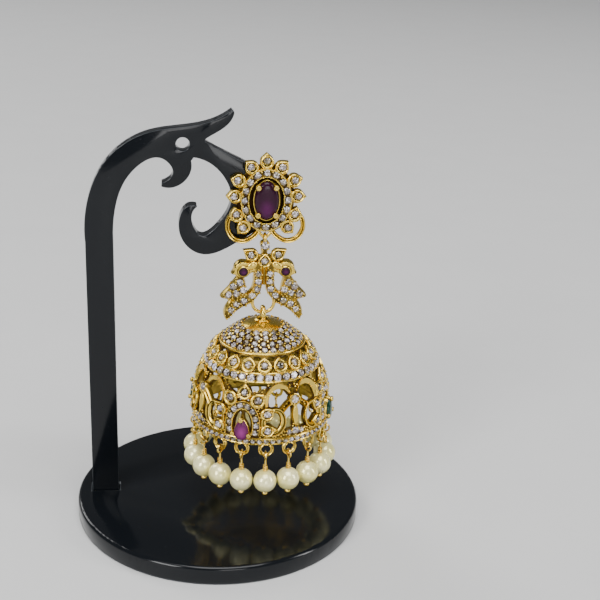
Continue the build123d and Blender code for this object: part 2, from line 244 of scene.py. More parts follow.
class Work:
    """Surfaces of one piece, in millimetres, with a tone from 0, painted shade deep in a recess, to 1,
    unshaded on top; on stones the tone paints a glow.
    """

    def __init__(self):
        self.points, self.faces, self.tones, self.flashes = [], [], [], []
        self.count = 0

    def add(self, points, faces, tone, flash=None):
        start = self.count
        points = np.asarray(points, float).reshape(-1, 3)
        self.points.append(points)
        self.tones.append(np.broadcast_to(np.asarray(tone, float), (len(points),)))
        self.count += len(points)
        self.faces += [tuple(start + corner for corner in face) for face in faces]
        self.flashes += list(np.full(len(faces), 0.5) if flash is None else flash)

    def rings(self, rings, tone=1.0, loop=False):
        """A skin over rings of the same number of points, closed at both ends or into a loop."""
        n, m = len(rings), len(rings[0])
        faces = []
        for k in range(n if loop else n - 1):
            a, b = k * m, ((k + 1) % n) * m
            faces += [(a + i, a + (i + 1) % m, b + (i + 1) % m, b + i) for i in range(m)]
        points = np.concatenate(rings)
        tones = np.repeat(np.broadcast_to(np.asarray(tone, float), (n,)), m)
        if not loop:
            faces += [(len(points), (i + 1) % m, i) for i in range(m)]
            points = np.vstack((points, rings[0].mean(0)))
            tones = np.append(tones, tones[0])
            last = (n - 1) * m
            faces += [(len(points), last + i, last + (i + 1) % m) for i in range(m)]
            points = np.vstack((points, rings[-1].mean(0)))
            tones = np.append(tones, tones[m * n - 1])
        self.add(points, faces, tones)

    def raised(self, seat, outline_at, rows):
        """Rings on a seat; rows give (size for outline_at, height, tone), the tone painting shade."""
        rings = [seat(with_height(outline_at(size), height)) for size, height, _ in rows]
        self.rings(rings, [tone for *_, tone in rows])

    def striped(self, rings, stripes, loop):
        """Rings that all carry the same tones of painted shade across them; end caps stay bright, unshaded.
        """
        self.rings(rings, 1.0, loop)
        tones = self.tones[-1].copy()
        tones[: len(stripes) * len(rings)] = np.tile(stripes, len(rings))
        self.tones[-1] = tones

    def along(self, spine, normals, section, closed=False, tone=1.0):
        """A section of (side, lift) pairs, swept along a spine."""
        spine, normals = np.asarray(spine, float), np.asarray(normals, float)
        if closed:
            tangents = unit(np.roll(spine, -1, 0) - np.roll(spine, 1, 0))
        else:
            tangents = unit(np.gradient(spine, axis=0))
        sides = unit(np.cross(normals, tangents))
        lifts = unit(np.cross(tangents, sides))
        section = np.asarray(section, float)[::-1]
        across, off = section[:, :1], section[:, 1:2]
        rings = [point + across * side + off * lift for point, side, lift in zip(spine, sides, lifts)]
        self.striped(rings, np.broadcast_to(np.asarray(tone, float), (len(section),))[::-1], closed)

    def ribbon(self, place, outer, inner, rows, closed=False):
        """A band between two edges; rows give (share from outer to inner, lift, tone) across it, the tone
        painting shade.
        """
        outer, inner = np.asarray(outer, float), np.asarray(inner, float)
        rings = []
        for a, b in zip(outer, inner):
            across = np.array([a + share * (b - a) for share, _, _ in rows])
            rings.append(place(across[:, 0], across[:, 1], np.array([lift for _, lift, _ in rows])))
        self.striped(rings, [tone for *_, tone in rows], closed)

    def mesh(self, name, finish, body, *nodes, slot=None, crisp=False, sharp=38):
        """Makes the piece, rides it on its body and lets it stand for its CAD nodes."""
        data = bpy.data.meshes.new(name)
        points = np.concatenate(self.points) * MM
        data.from_pydata(points.tolist(), [], self.faces)
        data.attributes.new("tone", "FLOAT", "POINT").data.foreach_set("value", np.concatenate(self.tones))
        data.attributes.new("flash", "FLOAT", "FACE").data.foreach_set("value", self.flashes)
        shell = bmesh.new()
        shell.from_mesh(data)
        bmesh.ops.recalc_face_normals(shell, faces=shell.faces)
        shell.to_mesh(data)
        shell.free()
        data.polygons.foreach_set("use_smooth", [not crisp] * len(self.faces))
        if not crisp:
            data.set_sharp_from_angle(angle=math.radians(sharp))
        data.materials.append(finish)
        piece = in_scene(name, data)
        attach(piece, body)
        if nodes:
            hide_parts(*nodes)


# ---- ornaments ----------------------------------------------------------------------------------
BALL = [polar(angle, 1.0) for angle in (-60, -20, 20, 55)]


def bead(metal, seat, radius, lift):
    """A small ball of metal, half sunk into what it sits on."""
    rings = [seat(with_height(circle(radius * c, 8), lift + radius * s)) for c, s in BALL]
    # the tones paint shade round the foot of the ball
    metal.rings(rings, (0.2, 0.7, 1.0, 1.0))


def claw(metal, seat, radius, foot, top, lean):
    """A claw that ends in a ball with a small hollow in it."""
    lean = np.array((*lean, 0.0))
    # the tones paint shade at the claw's foot and in the hollow at its top
    rows = [
        (0.55 * radius, foot, 0.3),
        (0.6 * radius, top - 1.3 * radius, 0.7),
        (0.95 * radius, top - 0.9 * radius, 0.9),
        (1.0 * radius, top - 0.45 * radius, 1.0),
        (0.8 * radius, top - 0.08 * radius, 1.0),
        (0.5 * radius, top, 1.0),
        (0.24 * radius, top - 0.1 * radius, 0.45),
    ]
    rings = [seat(with_height(circle(r, 12), h) + lean * (h - foot) / (top - foot)) for r, h, _ in rows]
    metal.rings(rings, [tone for *_, tone in rows])


def cut_stone(stones, seat, outline, girdle, height, bright):
    """A stone with a flat table, crown facets and a pointed back, over any round outline."""
    m = len(outline)
    table, depth = 0.55, 0.8 * height
    half = (outline + np.roll(outline, -1, 0)) / 2
    rows = [
        with_height(outline, girdle - 0.06 * height),
        with_height(outline, girdle + 0.06 * height),
        with_height(half * ((1 + table) / 2 + 0.04), girdle + 0.62 * height),
        with_height(outline * table, girdle + height),
    ]
    points = np.vstack((*rows, [[0, 0, girdle - depth]], [[0, 0, girdle + height]]))
    back, top = 4 * m, 4 * m + 1
    faces = []
    for i in range(m):
        following, previous = (i + 1) % m, (i - 1) % m
        faces += [
            (i, following, m + following, m + i),
            (m + i, m + following, 2 * m + i),
            (m + i, 2 * m + i, 3 * m + i, 2 * m + previous),
            (2 * m + i, 3 * m + following, 3 * m + i),
            (back, following, i),
            (top, 3 * m + i, 3 * m + following),
        ]
    # flash paints each facet's glint: table facets lighter, the others darker, at random
    in_table = np.array([face[0] == top for face in faces])
    flash = rng.random(len(faces))
    flash = np.where(in_table, 0.2 + 0.76 * flash, 0.78 * flash)
    stones.add(seat(points), faces, 0.0, np.clip(flash + bright, 0, 1))


def round_stone(stones, seat, radius, lift, bright=0.0):
    """A small stone of eight sides, turned by chance, with painted glints a little brighter or darker than
    the next.
    """
    spin = rng.random() * 90
    bright += rng.normal(0, 0.1)
    cut_stone(stones, seat.turned(spin), circle(radius, 8), lift, 0.36 * radius, bright)


def collet(metal, seat, outline_at, wall, foot, rim, floor):
    """A metal wall round a stone: outline_at gives the outline moved in by a distance."""
    # the tones paint shade at the foot and down the inner wall
    rows = [
        (0.0, foot, 0.25), (0.0, rim - 0.12, 0.85), (0.05, rim - 0.03, 1.0), (0.13, rim, 1.0),
        (wall - 0.07, rim - 0.02, 1.0), (wall, rim - 0.12, 0.8), (wall, floor, 0.0),
    ]
    metal.raised(seat, outline_at, rows)


def azure(metal, seat, foot, radius):
    """The rimmed hollow behind a stone, with painted shade in the hollow."""
    rows = [
        (radius + 0.22, foot + 0.2, 0.5), (radius + 0.2, foot - 0.06, 0.9),
        (radius + 0.1, foot - 0.14, 1.0), (radius, foot - 0.1, 0.8),
        (radius - 0.08, foot - 0.02, 0.0), (0.2, foot - 0.02, 0.0),
    ]
    metal.raised(seat, lambda size: circle(size, 14), rows)


def petal(metal, stones, seat, radius, reach, stone, foot, rim, drop=0.15):
    """A pointed collet with a round stone; v of the seat points to its tip."""
    low = seat.moved(0, -drop)
    wall = radius - stone

    def outline_at(distance):
        scale = (radius - distance) / radius
        return teardrop(radius * scale, (reach + drop) * scale) + (0, drop * distance / radius)

    # the tones paint shade at the foot and inside the wall round the stone
    rows = [
        (0.0, foot, 0.45), (0.0, rim - 0.3, 0.85), (0.04, rim - 0.12, 1.0), (0.12, rim - 0.02, 1.0),
        (wall / 2 - 0.06, rim + 0.04, 1.0), (wall - 0.24, rim - 0.02, 1.0), (wall - 0.13, rim - 0.14, 0.7),
        (wall - 0.06, rim - 0.28, 0.0), (wall + 0.02, rim - 0.3, 0.1), (wall + 0.1, rim - 0.2, 0.6),
    ]
    metal.raised(low, outline_at, rows)
    azure(metal, seat, foot, 0.62)
    round_stone(stones, seat, stone, rim - 0.1)
    for angle, distance in ((90, stone + 0.18), (208, stone + 0.14), (332, stone + 0.14)):
        bead(metal, seat.moved(*polar(angle, distance)), 0.25, rim + 0.02)


def domed_stone(stones, seat, outline, base, height, glow=(0.0, -0.45), facets=0.12):
    """A smooth stone with a softly domed face; its tone is a painted glow, lighter round the glow's centre.
    """
    rows = [
        (0.97, base - 0.3), (1.0, base), (0.98, base + 0.35 * height), (0.91, base + 0.66 * height),
        (0.8, base + 0.84 * height), (0.6, base + 0.94 * height), (0.3, base + 0.99 * height),
        (0.1, base + height),
    ]
    n, m = len(rows), len(outline)
    rings = [with_height(outline * share, h) for share, h in rows]
    points = np.vstack((*rings, [[0, 0, base + height]], [[0, 0, base - 0.3]]))
    size = np.abs(outline).max(0)
    near = np.hypot((points[:, 0] / size[0] - glow[0]) / 0.75, (points[:, 1] / size[1] - glow[1]) / 0.6)
    tones = np.clip(1 - near, 0, 1)
    faces = [
        (k * m + i, k * m + (i + 1) % m, (k + 1) * m + (i + 1) % m, (k + 1) * m + i)
        for k in range(n - 1)
        for i in range(m)
    ]
    faces += [((n - 1) * m + i, (n - 1) * m + (i + 1) % m, n * m) for i in range(m)]
    faces += [((i + 1) % m, i, n * m + 1) for i in range(m)]
    flash = 0.5 + facets * (rng.random(len(faces)) - 0.5)
    stones.add(seat(points), faces, tones, flash)


def round_collet(metal, stones, seat, radius, stone, foot, rim):
    collet(metal, seat, lambda d: circle(radius - d, 24), radius - stone - 0.06, foot, rim, rim - 0.35)
    round_stone(stones, seat, stone, rim - 0.1)


def pave(metal, stones, seats, stone, lift, bead_radius, spread, closed=False, bright=0.0):
    """A row of stones with a pair of beads between each two, on seats with u along the row."""
    for k, seat in enumerate(seats):
        round_stone(stones, seat, stone, lift, bright)
        if closed or k + 1 < len(seats):
            other = seats[(k + 1) % len(seats)]
            between = Seat(
                (seat.origin + other.origin) / 2,
                unit(seat.right + other.right),
                unit(seat.up + other.up),
                unit(seat.out + other.out),
            )
            for side in (-1, 1):
                bead(metal, between.moved(0, side * spread), bead_radius, lift + 0.14)


def ring_of_wire(metal, centre, major, minor, across, around=36, sides=12):
    """A round wire ring; across is the direction of its axis."""
    across = unit(np.array(across, float))
    first = unit(np.cross(across, (0.3, 0.1, 1.0)))
    spine = round_spine(centre, major, first, np.cross(across, first), around)
    metal.along(spine, np.tile(across, (around, 1)), circle(minor, sides), closed=True)


def front_wire(metal, line, z, radius, closed=False):
    """A round wire that follows a flat line in the middle of the earring's thickness."""
    spine = facing_front(line, 0.0, z)
    metal.along(spine, np.tile((0, -1, 0), (len(spine), 1)), circle(radius, 12), closed=closed)


# Sections of ribbons, as (share from the outer to the inner edge, lift, tone), the tone painting shade in
# grooves and down the sides.
DOUBLE_RIDGE = [
    (0.0, -0.6, 0.4), (0.0, -0.05, 0.8), (0.08, 0.16, 1.0), (0.22, 0.26, 1.0), (0.36, 0.16, 0.9),
    (0.46, -0.02, 0.1), (0.54, -0.02, 0.1), (0.66, 0.16, 0.9), (0.8, 0.24, 1.0), (0.93, 0.14, 1.0),
    (1.0, -0.05, 0.8), (1.0, -0.6, 0.4),
]


# ---- pierced sheets -----------------------------------------------------------------------------
def distance_to_path(x, y, path, closed=False):
    """Distance of grid points from a line of points."""
    path = np.asarray(path, float)
    if closed:
        path = np.vstack((path, path[:1]))
    best = np.full(x.shape, 1e9)
    for (ax, ay), (bx, by) in zip(path, path[1:]):
        dx, dy = bx - ax, by - ay
        t = np.clip(((x - ax) * dx + (y - ay) * dy) / max(dx * dx + dy * dy, 1e-12), 0, 1)
        best = np.minimum(best, np.hypot(x - ax - t * dx, y - ay - t * dy))
    return best


def inside_polygon(x, y, path):
    """Signed distance, positive inside a closed outline."""
    path = np.asarray(path, float)
    crossing = np.zeros(x.shape, bool)
    for (ax, ay), (bx, by) in zip(path, np.roll(path, -1, 0)):
        if ay == by:
            continue
        over = (ay > y) != (by > y)
        crossing ^= over & (x < (bx - ax) * (y - ay) / (by - ay) + ax)
    distance = distance_to_path(x, y, path, closed=True)
    return np.where(crossing, distance, -distance)


def pierced_sheet(work, depth, place, tone_front, wrap=False):
    """Closes the part of a grid where depth is positive into a sheet with a front and a back.

    place(columns, rows, depth, side) gives points for fractional grid positions; side 0 is the front.
    tone_front gives the front's tones of painted shade for rows of (column, row, depth).
    """
    n, m = depth.shape
    node_id, cross_id = {}, {}
    at = []

    def node(i, j):
        key = (i % n if wrap else i, j)
        if key not in node_id:
            node_id[key] = len(at)
            at.append((key[0], j, depth[key]))
        return node_id[key]

    def crossing(a, b):
        wa = (a[0] % n if wrap else a[0], a[1])
        wb = (b[0] % n if wrap else b[0], b[1])
        key = (wa, wb) if wa < wb else (wb, wa)
        if key not in cross_id:
            da, db = depth[wa], depth[wb]
            t = min(max(da / (da - db), 0.02), 0.98)
            cross_id[key] = len(at)
            at.append((a[0] + t * (b[0] - a[0]), a[1] + t * (b[1] - a[1]), 0.0))
        return cross_id[key]

    solid = depth > 0
    fronts, walls = [], []
    for i in range(n if wrap else n - 1):
        i2 = (i + 1) % n
        for j in range(m - 1):
            flags = (solid[i, j], solid[i2, j], solid[i2, j + 1], solid[i, j + 1])
            if not any(flags):
                continue
            cell = ((i, j), (i + 1, j), (i + 1, j + 1), (i, j + 1))
            if all(flags):
                fronts.append(tuple(node(*c) for c in cell))
                continue
            loop = []
            for k in range(4):
                here, there = cell[k], cell[(k + 1) % 4]
                if flags[k]:
                    loop.append((node(*here), False))
                if flags[k] != flags[(k + 1) % 4]:
                    loop.append((crossing(here, there), bool(flags[k])))
            fronts.append(tuple(v for v, _ in loop))
            for (a, leaving), (b, _) in zip(loop, loop[1:] + loop[:1]):
                if leaving:
                    walls.append((a, b))
    at = np.array(at)
    count = len(at)
    front = place(at[:, 0], at[:, 1], at[:, 2], 0)
    back = place(at[:, 0], at[:, 1], at[:, 2], 1)
    faces = fronts + [tuple(count + v for v in face[::-1]) for face in fronts]
    faces += [(a, count + a, count + b, b) for a, b in walls]
    work.add(np.vstack((front, back)), faces, np.concatenate((tone_front(at), np.full(count, 0.5))))


# ---- shader expressions -------------------------------------------------------------------------
class Value:
    """A number that changes over a surface; Python's operators add the nodes."""

    def __init__(self, finish, socket):
        self.finish, self.socket = finish, socket

    def maths(self, operation, *terms):
        return self.finish.node("ShaderNodeMath", {"operation": operation}, *terms)

    def __add__(self, other):
        return self.maths("ADD", self, other)

    __radd__ = __add__

    def __mul__(self, other):
        return self.maths("MULTIPLY", self, other)

    __rmul__ = __mul__

    def __sub__(self, other):
        return self.maths("SUBTRACT", self, other)

    def __rsub__(self, other):
        return self.maths("SUBTRACT", other, self)

    def between(self, low, high):
        """0 at low and 1 at high, with a soft start and end."""
        settings = {"interpolation_type": "SMOOTHSTEP"}
        return self.finish.node("ShaderNodeMapRange", settings, self, low, high, 0.0, 1.0)


class Finish:
    """A material, and short ways to build its nodes."""

    def __init__(self, name):
        self.material = bpy.data.materials.new(name)
        self.material.use_nodes = True
        self.tree = self.material.node_tree
        self.tree.nodes.clear()
        self.shader = self.tree.nodes.new("ShaderNodeBsdfPrincipled")
        output = self.tree.nodes.new("ShaderNodeOutputMaterial")
        self.tree.links.new(self.shader.outputs[0], output.inputs["Surface"])

    def node(self, kind, settings=None, *inputs, out=0, **named):
        made = self.tree.nodes.new(kind)
        for key, value in (settings or {}).items():
            setattr(made, key, value)
        pairs = list(zip([s for s in made.inputs if s.enabled], inputs))
        pairs += [(made.inputs[key.replace("_", " ")], value) for key, value in named.items()]
        for socket, value in pairs:
            self.feed(socket, value)
        found = made.outputs[out] if isinstance(out, str) else [s for s in made.outputs if s.enabled][out]
        return Value(self, found)

    def feed(self, socket, value):
        if isinstance(value, Value):
            self.tree.links.new(value.socket, socket)
        else:
            socket.default_value = value

    def set(self, **sockets):
        for key, value in sockets.items():
            self.feed(self.shader.inputs[key.replace("_", " ")], value)

    def mixed(self, factor, first, second):
        return self.node("ShaderNodeMix", {"data_type": "RGBA"}, factor, first, second)

    def place(self):
        return self.node("ShaderNodeTexCoord", None, out="Object")

    def noise(self, scale, detail=3.0):
        sockets = {"Vector": self.place(), "Scale": scale, "Detail": detail, "Roughness": 0.55}
        return self.node("ShaderNodeTexNoise", None, **sockets)

    def bump(self, height, distance, strength):
        return self.node("ShaderNodeBump", None, Strength=strength, Distance=distance, Height=height)

    def held(self, name):
        return self.node("ShaderNodeAttribute", {"attribute_name": name}, out="Fac")


def colour(red, green, blue):
    return (red, green, blue, 1.0)


def gold(name, bright, deep, rough=0.24):
    """Gold plating: bright on top, with painted shade that turns it brown in the recesses, and a fine cast
    grain.
    """
    f = Finish(name)
    tone = f.held("tone")
    cloud = f.noise(420.0, 4.0)
    fine = f.noise(5200.0, 2.0)
    # painted light and shade: the tone, low in recesses, with a random mottle picks between the deep
    # colour, painted shade, and the bright one
    painted_light_and_mottle = (tone + (cloud - 0.5) * 0.7).between(0.05, 0.75)
    pale = f.mixed(cloud.between(0.45, 0.75), bright, colour(*(min(1.0, 1.12 * c) for c in bright[:3])))
    f.set(
        Base_Color=f.mixed(painted_light_and_mottle, deep, pale),
        Metallic=0.88 + painted_light_and_mottle * 0.12,
        Roughness=rough + (1 - painted_light_and_mottle) * 0.3 + (fine - 0.5) * 0.16,
        Normal=f.bump(fine * 0.6 + cloud, 0.00004, 0.35),
    )
    return f.material


def crystal(name, dark, mid, light, rough=0.06, bend=1.9, coat=0.5, glow=0.0, painted_gold_reflection=None):
    """Cut stone: each facet is painted dark, grey or bright, a painted glint as it would catch a light; the
    tone adds a painted glow, and noise mixes in a painted reflection of the gold.
    """
    f = Finish(name)
    flash = f.held("flash")
    # patches of painted gold reflection over the mid colour, where the stone would mirror the gold round it
    tinted = f.mixed(f.noise(700.0).between(0.42, 0.62), mid, painted_gold_reflection or mid)
    low = f.mixed(flash.between(0.12, 0.55), dark, tinted)
    high = f.mixed(flash.between(0.62, 0.92) + glow * f.held("tone"), low, light)
    f.set(
        Base_Color=high,
        Roughness=rough + f.noise(3000.0) * 0.04,
        IOR=bend,
        Coat_Weight=coat,
        Coat_Roughness=0.03,
    )
    return f.material


# the second colour of each gold is the painted shade of its recesses
GOLD = gold("gold_with_painted_shade", colour(0.72, 0.51, 0.088), colour(0.035, 0.0155, 0.002))
GOLD_WIRE = gold("polished_gold_wire", colour(0.80, 0.565, 0.12), colour(0.09, 0.04, 0.009), 0.18)
# the light colour paints the glints, and the last, brownish colour paints the gold mirrored in the stones
CLEAR = crystal(
    "clear_stone", colour(0.014, 0.011, 0.005), colour(0.19, 0.155, 0.16), colour(0.74, 0.69, 0.76),
    painted_gold_reflection=colour(0.25, 0.18, 0.05),
)
# ruby and emerald: the light colours, raised by glow over the tone, paint a glow inside each stone
RUBY = crystal(
    "ruby", colour(0.006, 0.0, 0.003), colour(0.018, 0.0, 0.010), colour(0.075, 0.003, 0.062),
    rough=0.2, bend=1.28, coat=0.1, glow=0.9,
)
EMERALD = crystal(
    "emerald", colour(0.0, 0.008, 0.005), colour(0.0, 0.035, 0.02), colour(0.004, 0.11, 0.055),
    rough=0.14, bend=1.35, coat=0.2, glow=0.9,
)
BRIGHT_RUBY = crystal(
    "bright_ruby", colour(0.02, 0.0, 0.014), colour(0.085, 0.005, 0.055), colour(0.27, 0.03, 0.20),
    rough=0.24, bend=1.3, coat=0.15, glow=0.9,
)


def pearl_finish():
    """Coated pearl: cream with a mirror-like skin and a faint cloudiness."""
    f = Finish("cream_pearl")
    cloud = f.noise(240.0, 3.0)
    f.set(
        Base_Color=f.mixed(cloud.between(0.35, 0.7), colour(0.80, 0.73, 0.27), colour(0.94, 0.89, 0.49)),
        Metallic=0.25,
        Roughness=0.17 + cloud * 0.1,
        Coat_Weight=0.5,
        Coat_Roughness=0.06,
        Normal=f.bump(f.noise(2600.0), 0.00002, 0.15),
    )
    return f.material


PEARL = pearl_finish()


def acrylic_finish(name, face, haze):
    """Polished acrylic with a little dust and a few pale specks."""
    f = Finish(name)
    dust = f.noise(90.0, 5.0)
    specks = f.noise(1900.0, 2.0).between(0.70, 0.80)
    f.set(
        Base_Color=f.mixed(specks * 0.2, face, colour(0.05, 0.055, 0.06)),
        Roughness=haze + dust * 0.05 + specks * 0.2,
        IOR=1.34,
        Normal=f.bump(f.noise(160.0), 0.00004, 0.12),
    )
    return f.material


ACRYLIC = acrylic_finish("black_acrylic", colour(0.004, 0.005, 0.0065), 0.1)
# the edge finish is painted lighter than the face, a painted highlight along the bevels; its rougher haze
# is real
ACRYLIC_EDGE_HIGHLIGHT = acrylic_finish("acrylic_edge_painted_highlight", colour(0.045, 0.05, 0.055), 0.16)


# ---- stand --------------------------------------------------------------------------------------
def bevelled_copy(node, width, name):
    """The acrylic sheet with its cut edges broken, as a laser cutter and a polish leave them."""
    mesh = bmesh.new()
    mesh.from_mesh(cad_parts[node].data)
    bmesh.ops.remove_doubles(mesh, verts=mesh.verts, dist=0.000002)
    bmesh.ops.dissolve_limit(mesh, angle_limit=math.radians(0.6), verts=mesh.verts, edges=mesh.edges)
    steep = math.radians(50)
    rims = [e for e in mesh.edges if len(e.link_faces) == 2 and e.calc_face_angle() > steep]
    made = bmesh.ops.bevel(
        mesh, geom=rims, offset=width * MM, segments=2, profile=0.5, affect="EDGES", clamp_overlap=True
    )
    for face in mesh.faces:
        face.smooth = True
        face.material_index = 0
    # the bevel's faces get the second finish, with its painted edge highlight
    for face in made["faces"]:
        face.material_index = 1
    data = bpy.data.meshes.new(name)
    mesh.to_mesh(data)
    mesh.free()
    data.set_sharp_from_angle(angle=math.radians(30))
    data.materials.append(ACRYLIC)
    data.materials.append(ACRYLIC_EDGE_HIGHLIGHT)
    piece = in_scene(name, data)
    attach(piece, "root")
    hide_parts(node)
    return piece


bevelled_copy("stand_plate", 0.45, "acrylic_plate")
bevelled_copy("stand_foot", 0.35, "acrylic_foot")


# ---- stud ---------------------------------------------------------------------------------------
stud_metal, stud_stones = Work(), Work()
HALO_INNER, HALO_OUTER = (3.5, 4.75), (5.3, 6.65)
HALO_MID = (4.4, 5.68)
SIDE_PETALS = [
    ((3.2, 6.8), (4.5, 8.15)),
    ((5.85, 4.05), (7.4, 4.5)),
    ((6.6, 0.7), (8.3, 0.7)),
    ((6.05, -3.05), (6.5, -1.3)),
    ((4.66, -5.95), (6.1, -7.5)),
]
TOP_PETAL = ((0, 8.05), (0, 9.85))
EAR_LOOP = [(6.9, -3.2), (7.65, -4.5), (7.75, -6.4), (6.6, -8.3), (4.5, -8.95), (2.5, -8.0), (1.4, -6.7)]
RUBY_CLAWS = [(1.88, 3.1), (1.88, -2.85)]


def halo_band(metal):
    """The paved oval round the ruby: a raised band with a rim on both edges."""
    # the tones paint shade in the channel between the rims and down the band's sides
    rows = [
        (1.0, STUD_BACK_Y, 0.3), (1.0, HALO_FACE_Y + 0.15, 0.8),
        (0.95, HALO_FACE_Y, 1.0), (0.84, HALO_FACE_Y, 1.0),
        (0.78, HALO_FACE_Y + 0.22, 0.15), (0.22, HALO_FACE_Y + 0.22, 0.15),
        (0.16, HALO_FACE_Y, 1.0), (0.05, HALO_FACE_Y, 1.0),
        (0.0, HALO_FACE_Y + 0.15, 0.7), (0.0, STUD_BACK_Y, 0.2),
    ]
    rings = []
    for share, y, _ in rows:
        width = HALO_INNER[0] + share * (HALO_OUTER[0] - HALO_INNER[0])
        height = HALO_INNER[1] + share * (HALO_OUTER[1] - HALO_INNER[1])
        rings.append(facing_front(ellipse(width, height), y, STUD_Z))
    metal.rings(rings, [tone for *_, tone in rows], loop=True)


def oval_seats(radii, count, face_y):
    """Seats at even steps round an oval, with u along it."""
    sides = 720
    fine = circle(1.0, sides, math.pi / 2) * radii
    steps = np.linalg.norm(np.roll(fine, -1, 0) - fine, axis=1)
    length = np.concatenate(([0], np.cumsum(steps)))
    seats = []
    for k in range(count):
        index = int(np.searchsorted(length, k / count * length[-1])) % sides
        x, z = fine[index]
        ahead = fine[(index + 1) % sides] - fine[index - 1]
        turn = math.degrees(math.atan2(ahead[1], ahead[0]))
        seats.append(front_seat(x, STUD_Z + z, face_y, turn))
    return seats


halo_band(stud_metal)
halo_seats = oval_seats(HALO_MID, 16, HALO_FACE_Y + 0.1)
pave(stud_metal, stud_stones, halo_seats, 0.78, 0.12, 0.28, 0.6, closed=True)
for seat in halo_seats:
    azure(stud_metal, seat, HALO_FACE_Y + 0.1 - STUD_BACK_Y, 0.55)
for stone, tip in [TOP_PETAL] + SIDE_PETALS:
    for side in (-1, 1) if stone[0] else (1,):
        seat = pointed_seat(stone, tip, side, STUD_Z, STUD_BACK_Y - 1.6)
        petal(stud_metal, stud_stones, seat, 1.45, 1.62, 0.79, -1.55, 0.0, 0.28)

# back plate, recessed round the ruby's setting and given painted shade (tones down to 0) so the recess
# reads as a dark gap and the ruby seems to float in the oval;
# its lower end is cut off level to leave room for the hanging ring
PLATE_CUT_Z, PLATE_CUT_HALF = -6.6, 2.2
plate_rows = []
for width, height, y in (
    (6.0, 7.4, STUD_BACK_Y), (5.8, 7.2, STUD_BACK_Y - 0.55), (3.5, 4.9, STUD_BACK_Y - 0.55),
    (3.4, 4.8, STUD_BACK_Y - 0.12), (2.0, 3.4, STUD_BACK_Y - 0.12), (2.0, 3.4, STUD_BACK_Y),
):
    oval = ellipse(width, height)
    below = np.minimum(0, oval[:, 1] - PLATE_CUT_Z)
    oval[:, 1] -= below * (np.abs(oval[:, 0]) < PLATE_CUT_HALF)
    plate_rows.append(facing_front(oval, y, STUD_Z))
stud_metal.rings(plate_rows, (0.4, 0.12, 0.0, 0.0, 0.0, 0.4), loop=True)


def on_stud(side):
    """Places on one half of the stud, in front of its back plate."""
    return lambda x, z, lift: np.column_stack((EAR_X + side * x, STUD_BACK_Y - 0.85 - lift, STUD_Z + z))


ear_loop = smooth_path(EAR_LOOP, 8)
for side in (-1, 1):
    stud_metal.ribbon(on_stud(side), beside(ear_loop, 0.5), beside(ear_loop, -0.5), DOUBLE_RIDGE)

# setting of the ruby: a gallery behind it, with painted shade down its back, and a thin bright edge round
# it
ruby_seat = front_seat(0, STUD_Z + 0.15, RUBY_BACK_Y)
gallery = [
    ((2.1, 3.6), -1.6, 0.1), ((2.45, 3.95), -0.2, 0.3), ((2.66, 4.2), 0.02, 0.9),
    ((2.72, 4.26), 0.3, 1.0), ((2.6, 4.14), 0.34, 1.0), ((2.5, 4.0), 0.0, 0.5),
]
stud_metal.raised(ruby_seat, lambda size: ellipse(*size), gallery)
for u, v in RUBY_CLAWS:
    for side in (-1, 1):
        seat = front_seat(side * u, STUD_Z + v, RUBY_BACK_Y)
        claw(stud_metal, seat, 0.65, -1.6, 1.62, (-0.1 * side, -0.1 if v > 0 else 0.1))

ruby_work = Work()
domed_stone(ruby_work, ruby_seat, ellipse(2.5, 3.98, 40), 0.3, 0.95)
ruby_work.mesh("stud_ruby_oval", RUBY, "root", "stud_ruby", slot="ruby", sharp=50)


# hanging ring and ear post
HANGER = [
    (0, -1.15), (0.75, -0.55), (1.35, 0.35), (1.4, 1.1),
    (0, 1.25), (-1.4, 1.1), (-1.35, 0.35), (-0.75, -0.55),
]
front_wire(stud_metal, smooth_path(HANGER, 6, closed=True), UPPER_PIVOT_Z + 1.15, 0.34, closed=True)
POST_Z = STUD_Z + 1.5
POST_END_Y = corners("stud_frame")[1][1]
POST_ROWS = [
    (0.4, STUD_BACK_Y - 0.3), (0.4, 8.6), (0.33, 8.75), (0.33, 9.0), (0.4, 9.15), (0.4, 9.9),
    (0.2, POST_END_Y),
]
stud_metal.rings([facing_front(circle(r, 16), y, POST_Z) for r, y in POST_ROWS])
stud_metal.mesh("stud_goldwork", GOLD, "root", "stud_frame", slot="gold")
stud_stones.mesh("stud_clear_stones", CLEAR, "root", crisp=True)

# clutch: a pressed disc with a rolled edge and a ribbed barrel
clutch = Work()
clutch_front_y = corners("ear_clutch")[0][1]
CLUTCH_ROWS = [
    (0.46, 0.0), (2.2, 0.0), (2.55, 0.12), (2.6, 0.4), (2.5, 0.68), (2.2, 0.78), (1.4, 0.7), (1.15, 0.95),
    (1.15, 1.5), (1.3, 1.75), (1.3, 2.1), (1.15, 2.35), (1.15, 2.8), (0.9, 3.2), (0.46, 3.15),
]
clutch.rings([facing_front(circle(r, 32), clutch_front_y + y, POST_Z) for r, y in CLUTCH_ROWS], loop=True)
clutch.mesh("post_clutch", GOLD_WIRE, "root", "ear_clutch", slot="plain_gold")


# ---- peacock link -------------------------------------------------------------------------------
link_metal, link_stones = Work(), Work()
